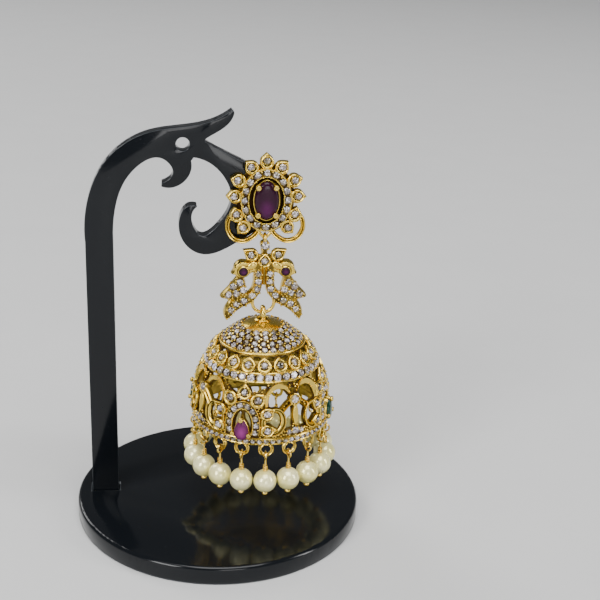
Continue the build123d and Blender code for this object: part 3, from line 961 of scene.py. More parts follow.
# Places on the link are (distance from its middle line, Z); both halves are the same.
NECK = [
    (1.35, 57.2), (1.25, 55.5), (1.22, 54.0), (1.28, 52.8),
    (1.6, 51.5), (2.35, 50.4), (3.3, 49.6), (4.2, 49.0),
]
NECK_HALF = [1.0, 1.05, 1.05, 1.05, 1.08, 1.1, 1.15, 1.15]
TAIL = [(3.2, 49.8), (4.9, 48.9), (6.4, 47.9), (7.45, 46.5), (7.75, 45.1)]
TAIL_HALF = [1.2, 1.3, 1.35, 1.0, 0.3]
WING_OUTLINE = [
    (4.3, 54.7), (5.5, 54.7), (7.1, 52.6), (9.15, 50.25), (8.4, 49.7),
    (7.0, 49.5), (5.0, 49.2), (3.7, 50.2), (3.55, 51.8),
]
HEAD_OUTLINE = [
    (1.6, 57.9), (3.2, 58.0), (5.0, 58.1), (6.2, 57.2), (6.55, 56.0), (6.95, 55.15),
    (6.2, 54.9), (5.4, 54.4), (4.2, 54.2), (3.1, 55.0), (2.4, 55.4), (1.6, 55.6),
]
# Bars between the necks, up to the loop and under the crown, as (half width, ends).
BARS = [(0.45, [(0, 57.4), (0, 53.0)]), (0.7, [(0, 58), (0, 61)]), (0.5, [(0.8, 58.6), (3.0, 59.3)])]
CROWN_PETAL = ((2.8, 59.45), (4.6, 60.6))
CENTRE_PETAL = ((0, 58.15), (0, 60.0))
CROWN_STONE = (0, 61.45)
NECK_STONES = [(1.25, 55.25), (1.22, 53.55), (1.4, 51.9), (2.45, 50.45)]
WING_STONES = [(5.1, 53.35), (6.45, 52.55), (4.35, 51.75), (5.75, 51.0), (7.45, 50.75)]
TAIL_STONES = [(4.15, 49.3), (5.7, 48.55), (6.85, 47.3)]
SADDLE = (2.65, 57.1)
EYE = (4.4, 55.9)
# Rows of (size, height, tone); the tones paint shade at the boss's foot and in the eye's socket.
SADDLE_BOSS = [
    (1.0, -0.3, 0.3), (0.98, 0.02, 0.8), (0.88, 0.2, 1.0),
    (0.68, 0.34, 1.0), (0.4, 0.43, 1.0), (0.15, 0.46, 1.0),
]
EYE_SOCKET = [
    (1.36, -0.5, 0.1), (1.34, 0.0, 0.15), (1.22, 0.2, 0.25), (1.12, 0.3, 0.8), (1.06, 0.36, 1.0),
    (0.98, 0.36, 1.0), (0.93, 0.26, 0.6), (0.93, 0.0, 0.0),
]


def band_field(x, y, path, halves):
    """Signed distance, positive inside a band with a changing half width."""
    line = smooth_path(np.column_stack((path, halves)), 5)
    best = np.full(x.shape, -1e9)
    for ax, ay, half in line:
        best = np.maximum(best, half - np.hypot(x - ax, y - ay))
    return best


GRAIN = 0.26               # radius of the grains between the stones
LINK_STEP = 0.15           # of the grid from which the casting's outline is made
LINK_HALF_WIDTH, LINK_LOW_Z, LINK_HIGH_Z = 9.6, 44.2, 62.8
link_x = np.arange(-LINK_HALF_WIDTH, LINK_HALF_WIDTH + LINK_STEP, LINK_STEP)
link_z = np.arange(LINK_LOW_Z, LINK_HIGH_Z, LINK_STEP)
grid_x, grid_z = np.meshgrid(link_x, link_z, indexing="ij")
mirror_x = np.abs(grid_x)
link_shapes = [band_field(mirror_x, grid_z, *band) for band in ((NECK, NECK_HALF), (TAIL, TAIL_HALF))]
for outline in (WING_OUTLINE, HEAD_OUTLINE):
    link_shapes.append(inside_polygon(mirror_x, grid_z, smooth_path(outline, 5, closed=True)))
for half, bar in BARS:
    link_shapes.append(half - distance_to_path(mirror_x, grid_z, bar))
link_shapes.append(1.0 - np.hypot(grid_x, grid_z - CROWN_STONE[1]))
link_depth = np.max(link_shapes, axis=0)


def place_link(columns, rows, depth, side):
    """Points of the casting: flat behind, and rounded over at the edges in front."""
    x = link_x[0] + columns * LINK_STEP
    z = link_z[0] + rows * LINK_STEP
    edge = np.clip(1 - depth / 0.32, 0, 1)
    if side:
        return np.column_stack((EAR_X + x, np.full(len(x), LINK_BACK_Y), z))
    return np.column_stack((EAR_X + x, LINK_FACE_Y + 1.25 * edge**1.6, z))


def link_tone(at):
    """Unshaded on the smooth heads and along the edges, and painted shade between the stones."""
    x = np.abs(link_x[0] + at[:, 0] * LINK_STEP)
    z = link_z[0] + at[:, 1] * LINK_STEP
    smooth = np.clip((z - 55.9) / 0.4, 0, 1) * np.clip((x - 1.9) / 0.3, 0, 1)
    smooth = np.maximum(smooth, np.clip((z - 54.6) / 0.3, 0, 1) * np.clip((x - 2.6) / 0.3, 0, 1))
    edge = np.clip(1 - (at[:, 2] - 0.12) / 0.2, 0, 1)
    return np.clip(0.22 + 0.78 * np.maximum(smooth, edge), 0, 1)


pierced_sheet(link_metal, link_depth, place_link, link_tone)


def bead_spots(field_x, field_z, field, stones, stone_gap, pitch, margin, tries):
    """Places for beads in one half: random tries that keep clear of the stones and of each other."""
    spots = []
    for _ in range(tries):
        i, j = rng.integers(len(field_x)), rng.integers(len(field_z))
        x, z = field_x[i], field_z[j]
        if field[i, j] < margin or x < GRAIN:
            continue
        if min(math.hypot(x - sx, z - sz) - sr for sx, sz, sr in stones) < stone_gap:
            continue
        if all(math.hypot(x - bx, z - bz) > pitch for bx, bz in spots):
            spots.append((x, z))
    return spots


paved_stones = [(x, z, 0.72) for x, z in NECK_STONES + TAIL_STONES]
paved_stones += [(x, z, 0.78) for x, z in WING_STONES]
keep_clear = [(*EYE, 2.15), (*SADDLE, 1.5), (*CENTRE_PETAL[0], 1.35), (*CROWN_PETAL[0], 1.4), (0, 61, 1.4)]
link_grains = bead_spots(link_x, link_z, link_depth, paved_stones + keep_clear, 0.0, 0.46, 0.2, 2600)
for side in (-1, 1):
    seat = pointed_seat(*CROWN_PETAL, side, 0.0, LINK_FACE_Y)
    petal(link_metal, link_stones, seat, 1.38, 2.1, 0.78, -1.1, 0.15)
    for x, z, radius in paved_stones:
        seat = front_seat(side * x, z, LINK_FACE_Y)
        round_stone(link_stones, seat, radius + 0.04, 0.06)
        azure(link_metal, seat, LINK_FACE_Y - LINK_BACK_Y, 0.52)
    for x, z in link_grains:
        bead(link_metal, front_seat(side * x, z, LINK_FACE_Y), GRAIN, 0.05)
    seat = front_seat(side * SADDLE[0], SADDLE[1], LINK_FACE_Y, -32.0 * side)
    link_metal.raised(seat, lambda size: ellipse(1.3 * size, 0.85 * size, 24), SADDLE_BOSS)
    seat = front_seat(side * EYE[0], EYE[1], LINK_FACE_Y)
    link_metal.raised(seat, lambda size: circle(size, 32), EYE_SOCKET)
    eye = Work()
    domed_stone(eye, seat, circle(0.92, 24), 0.16, 0.32, (0.1, -0.1))
    name = "left" if side < 0 else "right"
    eye.mesh(f"eye_stone_{name}", RUBY, "peacock_link", f"eye_ruby_{name}", slot="ruby", sharp=50)
petal(link_metal, link_stones, front_seat(*CENTRE_PETAL[0], LINK_FACE_Y), 1.35, 1.85, 0.78, -1.7, 0.3)
crown_seat = front_seat(*CROWN_STONE, LINK_FACE_Y)
round_stone(link_stones, crown_seat, 1.04, 0.1)
for angle in (45, 135, 225, 315):
    bead(link_metal, crown_seat.moved(*polar(angle, 0.92)), 0.3, 0.14)
TOP_RING, TOP_WIRE = 0.95, 0.33
top_ring_z = corners("peacock_frame")[1][2] - (TOP_RING + TOP_WIRE)
ring_of_wire(link_metal, (EAR_X, 0, top_ring_z), TOP_RING, TOP_WIRE, (1, 0, 0))
lower_arc = np.array([polar(angle, LINK_RING) for angle in np.linspace(-208, 28, 36)])
front_wire(link_metal, lower_arc, LOWER_PIVOT_Z + LINK_RING, LINK_WIRE)
link_metal.mesh("peacock_goldwork", GOLD, "peacock_link", "peacock_frame", slot="gold")
link_stones.mesh("peacock_clear_stones", CLEAR, "peacock_link", crisp=True)


# ---- bell ---------------------------------------------------------------------------------------
dome, openwork, settings, rim_rings, bell_stones = (Work() for _ in range(5))
SECTOR = 90.0
SECTORS = [SECTOR * k for k in range(4)]
SHEET = 0.85               # thickness of the bell's wall
BAND_TOP = 14.7
PEAR_R, PEAR_TIP, PEAR_NARROWING = 1.65, 2.45, 0.028
# Places on the bell are (degrees from the sector's middle, height above the lower edge).
HALO_PATH = [
    (-10.6, 2.4), (-11.2, 4.4), (-10.2, 6.2), (-6.6, 7.8), (0, 8.6),
    (6.6, 7.8), (10.2, 6.2), (11.2, 4.4), (10.6, 2.4),
]
TOP_LEAF = (0.0, 11.2)
SIDE_LEAF = (12.6, 9.75)
SCROLL = (26.0, 5.2)
SCROLL_SIZE = (2.6, 3.05)
SCROLL_LEAVES = [(20.6, 7.0, -54.0), (21.0, 3.35, -76.0)]
ARCH_OUTER = [
    (18.6, 8.4), (17.9, 10.0), (20.2, 11.45), (25.0, 12.5), (31.0, 12.95), (37.5, 12.5), (42.0, 11.0),
]
ARCH_INNER = [
    (21.2, 8.5), (21.8, 10.0), (24.2, 11.1), (28.2, 11.75), (32.5, 11.9), (37.2, 11.6), (41.0, 10.7),
]
STEM = [(30.5, 7.7), (36.0, 9.0), (42.0, 9.9)]
MM_PER_DEGREE = 0.262      # round the bell, near its lower edge
MID_COLLET = (45.0, 9.5)
LOW_STONES = [(45.0, 2.75, 0.9), (39.3, 2.6, 0.62)]


def flat(turn, height):
    """Unrolled place on the bell, in millimetres from the sector's middle."""
    return np.column_stack((np.radians(turn) * bell_radius(height), height))


def flat_spot(turn, height):
    """One unrolled place."""
    return flat(np.array([turn]), np.array([height]))[0]


def rolled(line):
    """An unrolled line in turn and height again."""
    return np.column_stack((np.degrees(line[:, 0] / bell_radius(line[:, 1])), line[:, 1]))


def flat_path(rows):
    """A smooth unrolled line."""
    path = smooth_path(rows, 6)
    return flat(path[:, 0], path[:, 1])


def column_turns(count):
    return np.arange(count) * 360.0 / count


def folded_grid(columns, heights, pitch):
    """Grids of the distance from the middle of the nearest sector, and of the height."""
    turn = np.abs((column_turns(columns) + pitch / 2) % pitch - pitch / 2)
    turn_grid, height_grid = np.meshgrid(turn, heights, indexing="ij")
    return np.radians(turn_grid) * bell_radius(height_grid), height_grid


def height_at(rows, heights):
    return np.interp(rows, np.arange(len(heights)), heights)


def wall_places(column_count, heights, bevel, front_round, back_round):
    """Places of a pierced wall of the bell, whose edges are rounded within the bevel's width."""
    def place(columns, rows, depth, side):
        edge = np.clip(1 - depth / bevel, 0, 1)
        lift = back_round * edge - SHEET if side else -front_round * edge**2
        return bell_point(columns * 360.0 / column_count, height_at(rows, heights), lift)

    return place


BAND_COLUMNS = 480
BAND_ROWS = np.linspace(-0.2, BAND_TOP + 0.6, 66)
band_x, height_grid = folded_grid(BAND_COLUMNS, BAND_ROWS, SECTOR)


def spot(turn, height, radius):
    """A round piece of the band's wall."""
    centre = flat_spot(turn, height)
    return radius - np.hypot(band_x - centre[0], height_grid - centre[1])


def strip(rows, half):
    """A strip of the band's wall along a line."""
    return half - distance_to_path(band_x, height_grid, flat_path(rows))


scroll_centre = flat_spot(*SCROLL)
scroll_line = ellipse(SCROLL_SIZE[0] - 0.5, SCROLL_SIZE[1] - 0.5, 40) + scroll_centre
arch_line = (np.array(ARCH_OUTER) + np.array(ARCH_INNER)) / 2
shapes = [
    1.5 - height_grid,
    height_grid - 13.15,
    strip([row for row in HALO_PATH if row[0] >= 0], 1.15),
    spot(0.0, 3.2, 1.5),
    strip([(0, 3.4), (0, 8.6)], 0.4),
    strip([(0, 2.4), (11.2, 2.4)], 0.9),
    spot(*TOP_LEAF, 1.55),
    strip([(0, 8.6), (0, 13.4)], 0.4),
    spot(*SIDE_LEAF, 1.6),
    strip([(9.5, 8.0), SIDE_LEAF, (18.0, 11.2)], 0.95),
    strip([(6.5, 9.8), (6.0, 10.6)], 0.5),
    0.6 - distance_to_path(band_x, height_grid, scroll_line, closed=True),
    spot(*SCROLL_LEAVES[0][:2], 1.5),
    spot(*SCROLL_LEAVES[1][:2], 1.5),
    strip([(15.5, 8.2), (15.5, 2.0)], 0.8),
    strip([(19.0, 9.0), (19.6, 8.0)], 0.7),
    strip([(14.0, 1.8), (25.0, 1.8), (36.0, 2.0)], 0.55),
    strip(arch_line, 0.5),
    strip([(30.0, 12.7), (30.5, 13.6)], 0.5),
    strip([(21.0, 12.2), (23.0, 13.4)], 0.35),
    strip([(39.5, 12.0), (45, 12.4), (45, 13.4)], 0.45),
    spot(*MID_COLLET, 1.35),
    strip([(45.0, 9.0), (45.0, 1.5)], 0.75),
    strip([(36.0, 2.4), (45.0, 2.6)], 0.95),
    strip([(34.0, 8.0), (43.0, 9.6)], 0.35),
]
band_depth = np.min([np.max(shapes, axis=0), height_grid, BAND_TOP + 0.4 - height_grid], axis=0)


def band_tone(at):
    """Painted shade where stones are set, and unshaded along the wires of the two rows."""
    height = height_at(at[:, 1], BAND_ROWS)
    edge = np.where((height < 1.5) | (height > 13.1), 0.9, 0.1)
    paved_rows = (0.2, 0.35, 1.2, 1.35, 13.4, 13.5, 14.6, 14.75)
    return edge * np.interp(height, paved_rows, (1, 0.1, 0.1, 1, 1, 0.1, 0.1, 1))


place_band = wall_places(BAND_COLUMNS, BAND_ROWS, 0.22, 0.18, 0.15)
pierced_sheet(openwork, band_depth, place_band, band_tone, wrap=True)

# upper dome: a band of small windows, the plain cap rim, the paved cap and the plain top
DOME_COLUMNS = 320
DOME_ROWS = np.concatenate((np.linspace(14.6, 18.2, 34), np.linspace(18.35, 22.38, 18)))
BEZEL_COUNT = 20
bezel_pitch = 360.0 / BEZEL_COUNT
dome_x, dome_height_grid = folded_grid(DOME_COLUMNS, DOME_ROWS, bezel_pitch)


def dome_window(height, half_width, half_height):
    """The wall outside an oval window between two bezels."""
    x = np.radians(bezel_pitch / 2) * bell_radius(height)
    return 0.4 * (np.hypot((dome_x - x) / half_width, (dome_height_grid - height) / half_height) - 1)


dome_shapes = [
    dome_window(17.36, 0.86, 0.3),
    dome_window(15.35, 0.5, 0.4),
    dome_height_grid - DOME_ROWS[0] - 0.02,
    DOME_ROWS[-1] - dome_height_grid - 0.002,
]


def dome_tone(at):
    """Painted shade under the bezels and the paved cap, and bright, unshaded gold on the plain top."""
    rows = (14.7, 14.8, 17.7, 17.9, 18.2, 18.3, 21.2, 21.35)
    return np.interp(height_at(at[:, 1], DOME_ROWS), rows, (0.6, 0.16, 0.16, 0.6, 0.6, 0.06, 0.06, 1.0))


place_dome = wall_places(DOME_COLUMNS, DOME_ROWS, 0.2, 0.08, 0.0)
pierced_sheet(dome, np.min(dome_shapes, axis=0), place_dome, dome_tone, wrap=True)


def hoop(metal, height, wire, lift, sides=8):
    """A level wire round the bell."""
    turn = column_turns(180)
    spine = bell_point(turn, height, lift)
    normals = unit(bell_point(turn, height, 1.0) - bell_point(turn, height, 0.0))
    metal.along(spine, normals, circle(wire, sides), closed=True)


hoop(dome, 17.95, 0.3, 0.12, sides=10)
for height, wire, lift in ((13.25, 0.2, 0.02), (14.82, 0.2, 0.02), (0.22, 0.24, -0.1), (1.38, 0.2, -0.02)):
    hoop(openwork, height, wire, lift)


def row_seats(height, count, offset):
    pitch = 360.0 / count
    return [bell_seat(offset + k * pitch, height) for k in range(count)]


for height, count, offset in ((21.08, 16, 0.0), (20.38, 20, 4.0), (19.5, 24, 2.0), (18.6, 28, 6.0)):
    pave(dome, bell_stones, row_seats(height, count, offset), 0.68, 0.1, 0.27, 0.5, closed=True)
# bright=0.16 paints this row's glints brighter
pave(settings, bell_stones, row_seats(14.05, 40, 4.5), 0.82, 0.14, 0.28, 0.66, closed=True, bright=0.16)
pave(settings, bell_stones, row_seats(0.8, 66, 3.6), 0.57, 0.05, 0.21, 0.42, closed=True)
for k in range(BEZEL_COUNT):
    petal(dome, bell_stones, bell_seat(k * bezel_pitch, 16.2), 1.55, 1.78, 0.8, -0.6, 0.42)

# openwork band: the same ornament about each pear stone
halo_line = smooth_path(HALO_PATH, 10)
halo_flat = flat(halo_line[:, 0], halo_line[:, 1])
halo_steps = np.concatenate(([0], np.cumsum(np.linalg.norm(np.diff(halo_flat, axis=0), axis=1))))


def widened(line, distance):
    """The same line moved to its side, in turn and height."""
    return rolled(beside(flat(line[:, 0], line[:, 1]), distance))


# Sections of the openwork's bands, in the form of DOUBLE_RIDGE.
TROUGH = [
    (0.0, -0.7, 0.3), (0.0, 0.3, 0.9), (0.05, 0.42, 1.0), (0.1, 0.42, 1.0), (0.15, 0.1, 0.1),
    (0.83, 0.1, 0.1), (0.88, 0.4, 1.0), (0.95, 0.4, 1.0), (1.0, 0.3, 0.9), (1.0, -0.7, 0.3),
]
CRESCENT = [
    (0.0, -0.7, 0.4), (0.0, 0.38, 0.9), (0.06, 0.5, 1.0), (0.16, 0.48, 1.0), (0.26, 0.36, 0.85),
    (0.6, 0.2, 0.8), (0.88, 0.0, 0.75), (0.97, -0.06, 0.8), (1.0, -0.16, 0.5), (1.0, -0.75, 0.1),
]
RING_BAND = [
    (0.0, -0.7, 0.4), (0.0, 0.42, 0.9), (0.06, 0.56, 1.0), (0.22, 0.56, 1.0), (0.3, 0.34, 0.2),
    (0.4, 0.12, 0.1), (0.5, 0.26, 0.7), (0.8, 0.12, 0.85), (0.96, -0.06, 0.8), (1.0, -0.2, 0.5),
    (1.0, -0.75, 0.1),
]
LEAF_BAND = [
    (0.0, -0.6, 0.3), (0.0, 0.15, 0.6), (0.12, 0.42, 0.95), (0.5, 0.62, 1.0), (0.88, 0.42, 0.95),
    (1.0, 0.15, 0.6), (1.0, -0.6, 0.3),
]


def on_bell(sector, side=1):
    """Places in a sector, or mirrored about its middle with side -1."""
    return lambda turn, height, lift: bell_point(sector + side * turn, height, lift)


def halo(sector):
    """The trough of stones round a pear stone."""
    openwork.ribbon(on_bell(sector), widened(halo_line, 0.95), widened(halo_line, -0.75), TROUGH)
    seats = []
    for share in np.linspace(0.03, 0.97, 10):
        index = int(np.searchsorted(halo_steps, share * halo_steps[-1]))
        turn, height = halo_line[index]
        ahead = halo_flat[min(index + 1, len(halo_flat) - 1)] - halo_flat[max(index - 1, 0)]
        spin = math.degrees(math.atan2(ahead[1], ahead[0]))
        seats.append(bell_seat(sector + turn, height, spin).moved(0, 0, 0.15))
    pave(settings, bell_stones, seats, 0.7, 0.1, 0.22, 0.55)


def scrolls(sector, side):
    """Petals, round scroll, arch and two stems on one side of a sector's middle."""
    def petal_on_side(place, spin, *sizes):
        turn, height = place
        seat = bell_seat(sector + side * turn, height, side * spin)
        petal(settings, bell_stones, seat, *sizes)

    petal_on_side(SIDE_LEAF, -52.0, 1.55, 2.05, 0.82, -0.8, 0.5)
    for turn, height, spin in SCROLL_LEAVES:
        petal_on_side((turn, height), spin, 1.42, 1.9, 0.78, -0.8, 0.62)
    width, height = SCROLL_SIZE
    edges = [rolled(ellipse(width - inset, height - inset, 44) + scroll_centre) for inset in (0.0, 1.05)]
    openwork.ribbon(on_bell(sector, side), *edges, RING_BAND, closed=True)
    openwork.ribbon(on_bell(sector, side), smooth_path(ARCH_OUTER, 7), smooth_path(ARCH_INNER, 7), CRESCENT)
    for shift in (0.0, 2.4):
        line = smooth_path([(turn + shift, height - 0.3 * shift) for turn, height in STEM], 4)
        openwork.ribbon(on_bell(sector, side), widened(line, 0.2), widened(line, -0.2), LEAF_BAND)


def leaf_between(sector):
    """The long leaf half way between two pear stones."""
    height = np.linspace(8.9, 3.7, 18)
    half = np.interp(height, (3.7, 4.6, 6.0, 7.4, 8.9), (0.05, 0.5, 0.85, 0.75, 0.3)) / MM_PER_DEGREE
    edges = [np.column_stack((SECTOR / 2 + side * half, height)) for side in (-1, 1)]
    openwork.ribbon(on_bell(sector), *edges, LEAF_BAND)


def low_stones(sector):
    """Round stones at the foot of that leaf, each held by three grains."""
    for turn, height, radius in LOW_STONES:
        for side in (-1, 1) if turn < SECTOR / 2 else (1,):
            seat = bell_seat(sector + side * turn, height)
            round_stone(bell_stones, seat, radius, 0.2)
            for angle in (30, 150, 270):
                bead(settings, seat.moved(*polar(angle, radius)), 0.22, 0.25)


for sector in SECTORS:
    halo(sector)
    petal(settings, bell_stones, bell_seat(sector + TOP_LEAF[0], TOP_LEAF[1]), 1.5, 1.85, 0.8, -0.8, 0.45)
    middle_seat = bell_seat(sector + MID_COLLET[0], MID_COLLET[1])
    round_collet(settings, bell_stones, middle_seat, 1.3, 0.86, -0.8, 0.62)
    for side in (-1, 1):
        scrolls(sector, side)
    leaf_between(sector)
    low_stones(sector)


# grains on the plain ground between the ornaments
def flat_circles(line, radius):
    return [(x, z, radius) for x, z in line]


GRAIN_RADIUS = 14.2        # of the bell, where grains lie
half_sector = np.arange(BAND_COLUMNS // (2 * len(SECTORS)) + 1)
grain_x = np.radians(column_turns(BAND_COLUMNS)[half_sector]) * GRAIN_RADIUS
ornaments = flat_circles(halo_flat, 1.02) + flat_circles(scroll_centre + ellipse(2.1, 2.5, 40), 0.62)
ornaments += flat_circles(flat_path(arch_line), 0.62)
ornaments += flat_circles(flat_path([(0, 3.4), (0, 6.2)]), 1.5)
for turn, height, radius in (
    (*TOP_LEAF, 1.6), (0.0, 12.6, 0.9), (*SIDE_LEAF, 1.6), (10.2, 10.8, 0.8), (*MID_COLLET, 1.4),
    (45.0, 5.5, 1.1), (45.0, 8.0, 1.0),
    *((turn, height, 1.5) for turn, height, _ in SCROLL_LEAVES),
    *((turn, height, radius + 0.25) for turn, height, radius in LOW_STONES),
):
    ornaments += flat_circles([flat_spot(turn, height)], radius)
# grains stay off the two rows of stones and off the sectors' edges
ground = band_depth[half_sector].copy()
ground[:, (BAND_ROWS < 1.75) | (BAND_ROWS > 12.9)] = -1
ground[-2:] = -1
for x, height in bead_spots(grain_x, BAND_ROWS, ground, ornaments, 0.02, 0.48, 0.12, 9000):
    for sector in SECTORS:
        for side in (-1, 1):
            bead(settings, bell_seat(sector + side * math.degrees(x / GRAIN_RADIUS), height), 0.24, 0.02)


# pear stones, their collets and claws
def pear_outline(distance):
    """A pear stone's outline, moved in by a distance: round below, and drawn out and narrowed above."""
    x, y = circle(1.0, 40, math.pi / 2).T
    y = np.where(y > 0, (2 * PEAR_TIP - PEAR_R) * y, PEAR_R * y)
    scale = (PEAR_R - distance) / PEAR_R
    return scale * np.column_stack((PEAR_R * x * (1 - PEAR_NARROWING * np.maximum(y, 0) ** 2), y))


PEAR_NAMES = ("ruby_front", "emerald_right", "ruby_back", "emerald_left")
for sector, name in zip(SECTORS, PEAR_NAMES):
    out, along = level_directions(sector)
    seat = Seat(np.array((EAR_X, 0, PEAR_Z)) + SEAT_FACE * out, along, (0, 0, 1), out)
    low = seat.moved(0, PEAR_R - PEAR_TIP)
    collet(settings, low, pear_outline, 0.2, -1.0, 0.16, 0.0)
    gem = Work()
    domed_stone(gem, low, pear_outline(0.08), 0.2, 0.8, (0.1, 0.1), 0.3)
    kind = name.split("_")[0]
    finish = BRIGHT_RUBY if kind == "ruby" else EMERALD
    gem.mesh(f"pear_stone_{name}", finish, "bell", f"pear_{name}", slot=kind, sharp=50)
    claw(settings, seat.moved(0, PEAR_TIP + 0.15), 0.56, -0.9, 1.25, (0, -0.25))
    for side in (-1, 1):
        claw(settings, seat.moved(side * (PEAR_R + 0.22), -0.9), 0.5, -0.9, 1.15, (-0.15 * side, 0))

# collar, bail and rim loops
COLLAR_ROWS = [(1.0, 21.9), (1.7, 22.35), (1.75, 22.5), (1.45, 22.7), (1.2, 22.62), (0.8, 22.3)]
collar = [with_height(circle(radius, 32) + (EAR_X, 0), RIM_Z + height) for radius, height in COLLAR_ROWS]
# the collar's tones paint shade where it turns down into its hole
dome.rings(collar, (1, 1, 1, 1, 0.5, 0.2))
BAIL_RING, BAIL_WIRE = 1.28, 0.55
bail_z = LOWER_PIVOT_Z + LINK_WIRE - (BAIL_RING - BAIL_WIRE) + 0.14
ring_of_wire(dome, (EAR_X, 0, bail_z), BAIL_RING, BAIL_WIRE, (1, 0, 0), around=44, sides=16)

# The rim rings' wire has a groove along its front; its tones paint shade in the groove.
GROOVED = [
    (-0.34, -0.16), (-0.26, -0.28), (0.26, -0.28), (0.34, -0.16), (0.34, 0.16),
    (0.24, 0.28), (0.1, 0.22), (0.0, 0.1), (-0.1, 0.22), (-0.24, 0.28), (-0.34, 0.16),
]
GROOVED_TONE = [0.8, 0.8, 0.8, 0.9, 1, 1, 0.7, 0.1, 0.7, 1, 1]
RIM_RING, RIM_RING_DROP = 1.29, 0.9
for k in range(DROP_COUNT):
    out, along = rim_directions(k)
    centre = np.array((EAR_X, 0, RIM_Z - RIM_RING_DROP)) + DROP_RADIUS * out
    spine = round_spine(centre, RIM_RING, along, np.array((0, 0, 1)), 28)
    rim_rings.along(spine, np.tile(out, (28, 1)), GROOVED, closed=True, tone=GROOVED_TONE)

dome.mesh("bell_paved_dome", GOLD, "bell", "bell_shell", slot="gold")
openwork.mesh("bell_openwork_band", GOLD, "bell", slot="gold")
settings.mesh("bell_stone_settings", GOLD, "bell", slot="gold")
rim_rings.mesh("bell_rim_rings", GOLD, "bell", slot="gold")
bell_stones.mesh("bell_clear_stones", CLEAR, "bell", crisp=True)


# ---- pearl drops --------------------------------------------------------------------------------
PEARL_ROWS = [polar(angle, PEARL_RADIUS) for angle in np.linspace(-82, 82, 21)]
DRILL_RADIUS, DRILL_REACH = 0.34, 2.3
PIN_EYE, PIN_EYE_WIRE = 0.84, 0.21
PIN_BALL = [(0.5, 0.08), (0.64, 0.32), (0.66, 0.58), (0.55, 0.86), (0.3, 1.03), (0.12, 0.9)]
WRAP_TURNS, WRAP_RISE = 3.2, 1.23


def pearl_bead(name):
    """A drilled pearl, a touch flatter or narrower than the next."""
    centre = middle(f"pearl_{name}")
    wide, tall = np.minimum(1 + 0.008 * rng.standard_normal(2), 1.0)
    rings = [centre + with_height(circle(r, 36) * wide, z * tall) for r, z in PEARL_ROWS]
    hole = [centre + with_height(circle(DRILL_RADIUS, 36), z) for z in (DRILL_REACH, -DRILL_REACH)]
    pearl = Work()
    pearl.rings(rings + hole, loop=True)
    pearl.mesh(f"pearl_bead_{name}", PEARL, "bell", f"pearl_{name}", slot="pearl")


def headpin(name, along):
    """A pin with a ball below its pearl, and a wrapped eye above it whose axis lies along the rim."""
    low, high = (corner[2] for corner in corners(f"pearl_{name}"))
    axis = middle(f"pearl_pin_{name}")[:2]
    eye_z = corners(f"pearl_pin_{name}")[1][2] - (PIN_EYE + PIN_EYE_WIRE) - 0.01
    pin = Work()
    ring_of_wire(pin, (*axis, eye_z), PIN_EYE, PIN_EYE_WIRE, along, around=24, sides=8)
    steps = np.linspace(0, 1, 40)
    angle = steps * math.tau * WRAP_TURNS + rng.random() * 6
    swell = 0.42 - 0.1 * steps
    around = np.column_stack((swell * np.cos(angle), swell * np.sin(angle)))
    coil = np.column_stack((axis + around, high + 0.14 + WRAP_RISE * steps))
    pin.along(coil, np.column_stack((around, 0 * steps)), circle(0.18, 7))
    shank = [(0.2, eye_z - 0.8), (0.23, high + 0.02), (0.23, low - 0.05)]
    ball = [(r, low - drop) for r, drop in PIN_BALL]
    pin.rings([with_height(circle(r, 12) + axis, z) for r, z in (shank + ball)[::-1]])
    pin.mesh(f"pearl_headpin_{name}", GOLD_WIRE, "bell", f"pearl_pin_{name}", slot="gold_wire")


for k in range(DROP_COUNT):
    pearl_bead(f"{k + 1:02d}")
    headpin(f"{k + 1:02d}", rim_directions(k)[1])


# ---- floor, light and camera --------------------------------------------------------------------
def floor_finish():
    """Matt pale paper."""
    f = Finish("pale_floor")
    pale = f.mixed(f.noise(40.0), colour(0.60, 0.60, 0.60), colour(0.64, 0.64, 0.635))
    f.set(Base_Color=pale, Roughness=0.6)
    return f.material


bpy.ops.mesh.primitive_plane_add(size=8.0, location=(0, 0, 0))
floor = bpy.context.object
floor.name = "floor"
floor.data.materials.append(floor_finish())


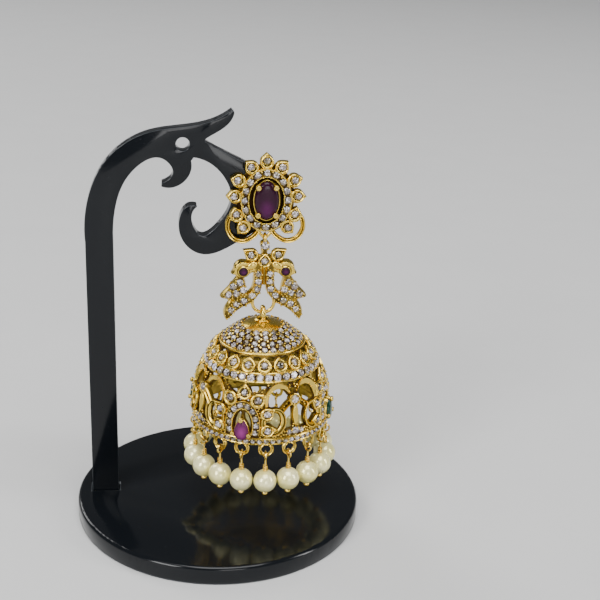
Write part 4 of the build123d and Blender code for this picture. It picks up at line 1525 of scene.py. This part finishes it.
def soft_light(name, place, size, power):
    """A soft box aimed at the earring, far enough off to light the floor evenly."""
    lamp = bpy.data.lights.new(name, "AREA")
    lamp.shape = "RECTANGLE"
    lamp.size, lamp.size_y = size
    lamp.energy = power
    thing = in_scene(name, lamp)
    thing.location = place
    aim = Vector((EAR_X * MM, 0, 0.045)) - thing.location
    thing.rotation_euler = aim.to_track_quat("-Z", "Y").to_euler()


soft_light("overhead_softbox", (0.06, -0.42, 1.26), (0.9, 0.9), 15.3)
soft_light("front_left_softbox", (-1.02, -1.02, 0.72), (0.54, 0.84), 18.9)
soft_light("right_strip", (1.14, -0.48, 0.54), (0.21, 0.84), 8.55)
soft_light("front_low_fill", (0.18, -1.5, 0.3), (0.48, 0.48), 4.5)
soft_light("back_edge", (-0.75, 0.96, 0.9), (0.45, 0.9), 8.1)
daylight = bpy.data.lights.new("even_ceiling_light", "SUN")
daylight.energy = 0.45
daylight.angle = math.radians(40)
ceiling = in_scene("even_ceiling_light", daylight)
ceiling.rotation_euler = (math.radians(14), math.radians(-10), 0)

world = bpy.data.worlds.new("studio")
bpy.context.scene.world = world
world.use_nodes = True
sky = world.node_tree.nodes["Background"].inputs
sky["Color"].default_value = colour(0.60, 0.61, 0.63)
sky["Strength"].default_value = 0.3

CAMERA_TURN = -6.49
CAMERA_PITCH = 20.99
CAMERA_ROLL = 1.54
CAMERA_DISTANCE, CAMERA_HEIGHT = 0.2228, 0.1346
lens = bpy.data.cameras.new("view")
lens.sensor_width = 36.0
lens.lens = 67.9
lens.shift_x = 0.0614
lens.clip_start = 0.01
camera = in_scene("view", lens)
turn = math.radians(CAMERA_TURN)
camera.location = (
    EAR_X * MM + CAMERA_DISTANCE * math.sin(turn),
    -CAMERA_DISTANCE * math.cos(turn),
    CAMERA_HEIGHT,
)
camera.rotation_euler = (
    Matrix.Rotation(turn, 3, "Z")
    @ Matrix.Rotation(math.radians(90 - CAMERA_PITCH), 3, "X")
    @ Matrix.Rotation(math.radians(CAMERA_ROLL), 3, "Z")
).to_euler()
bpy.context.scene.camera = camera
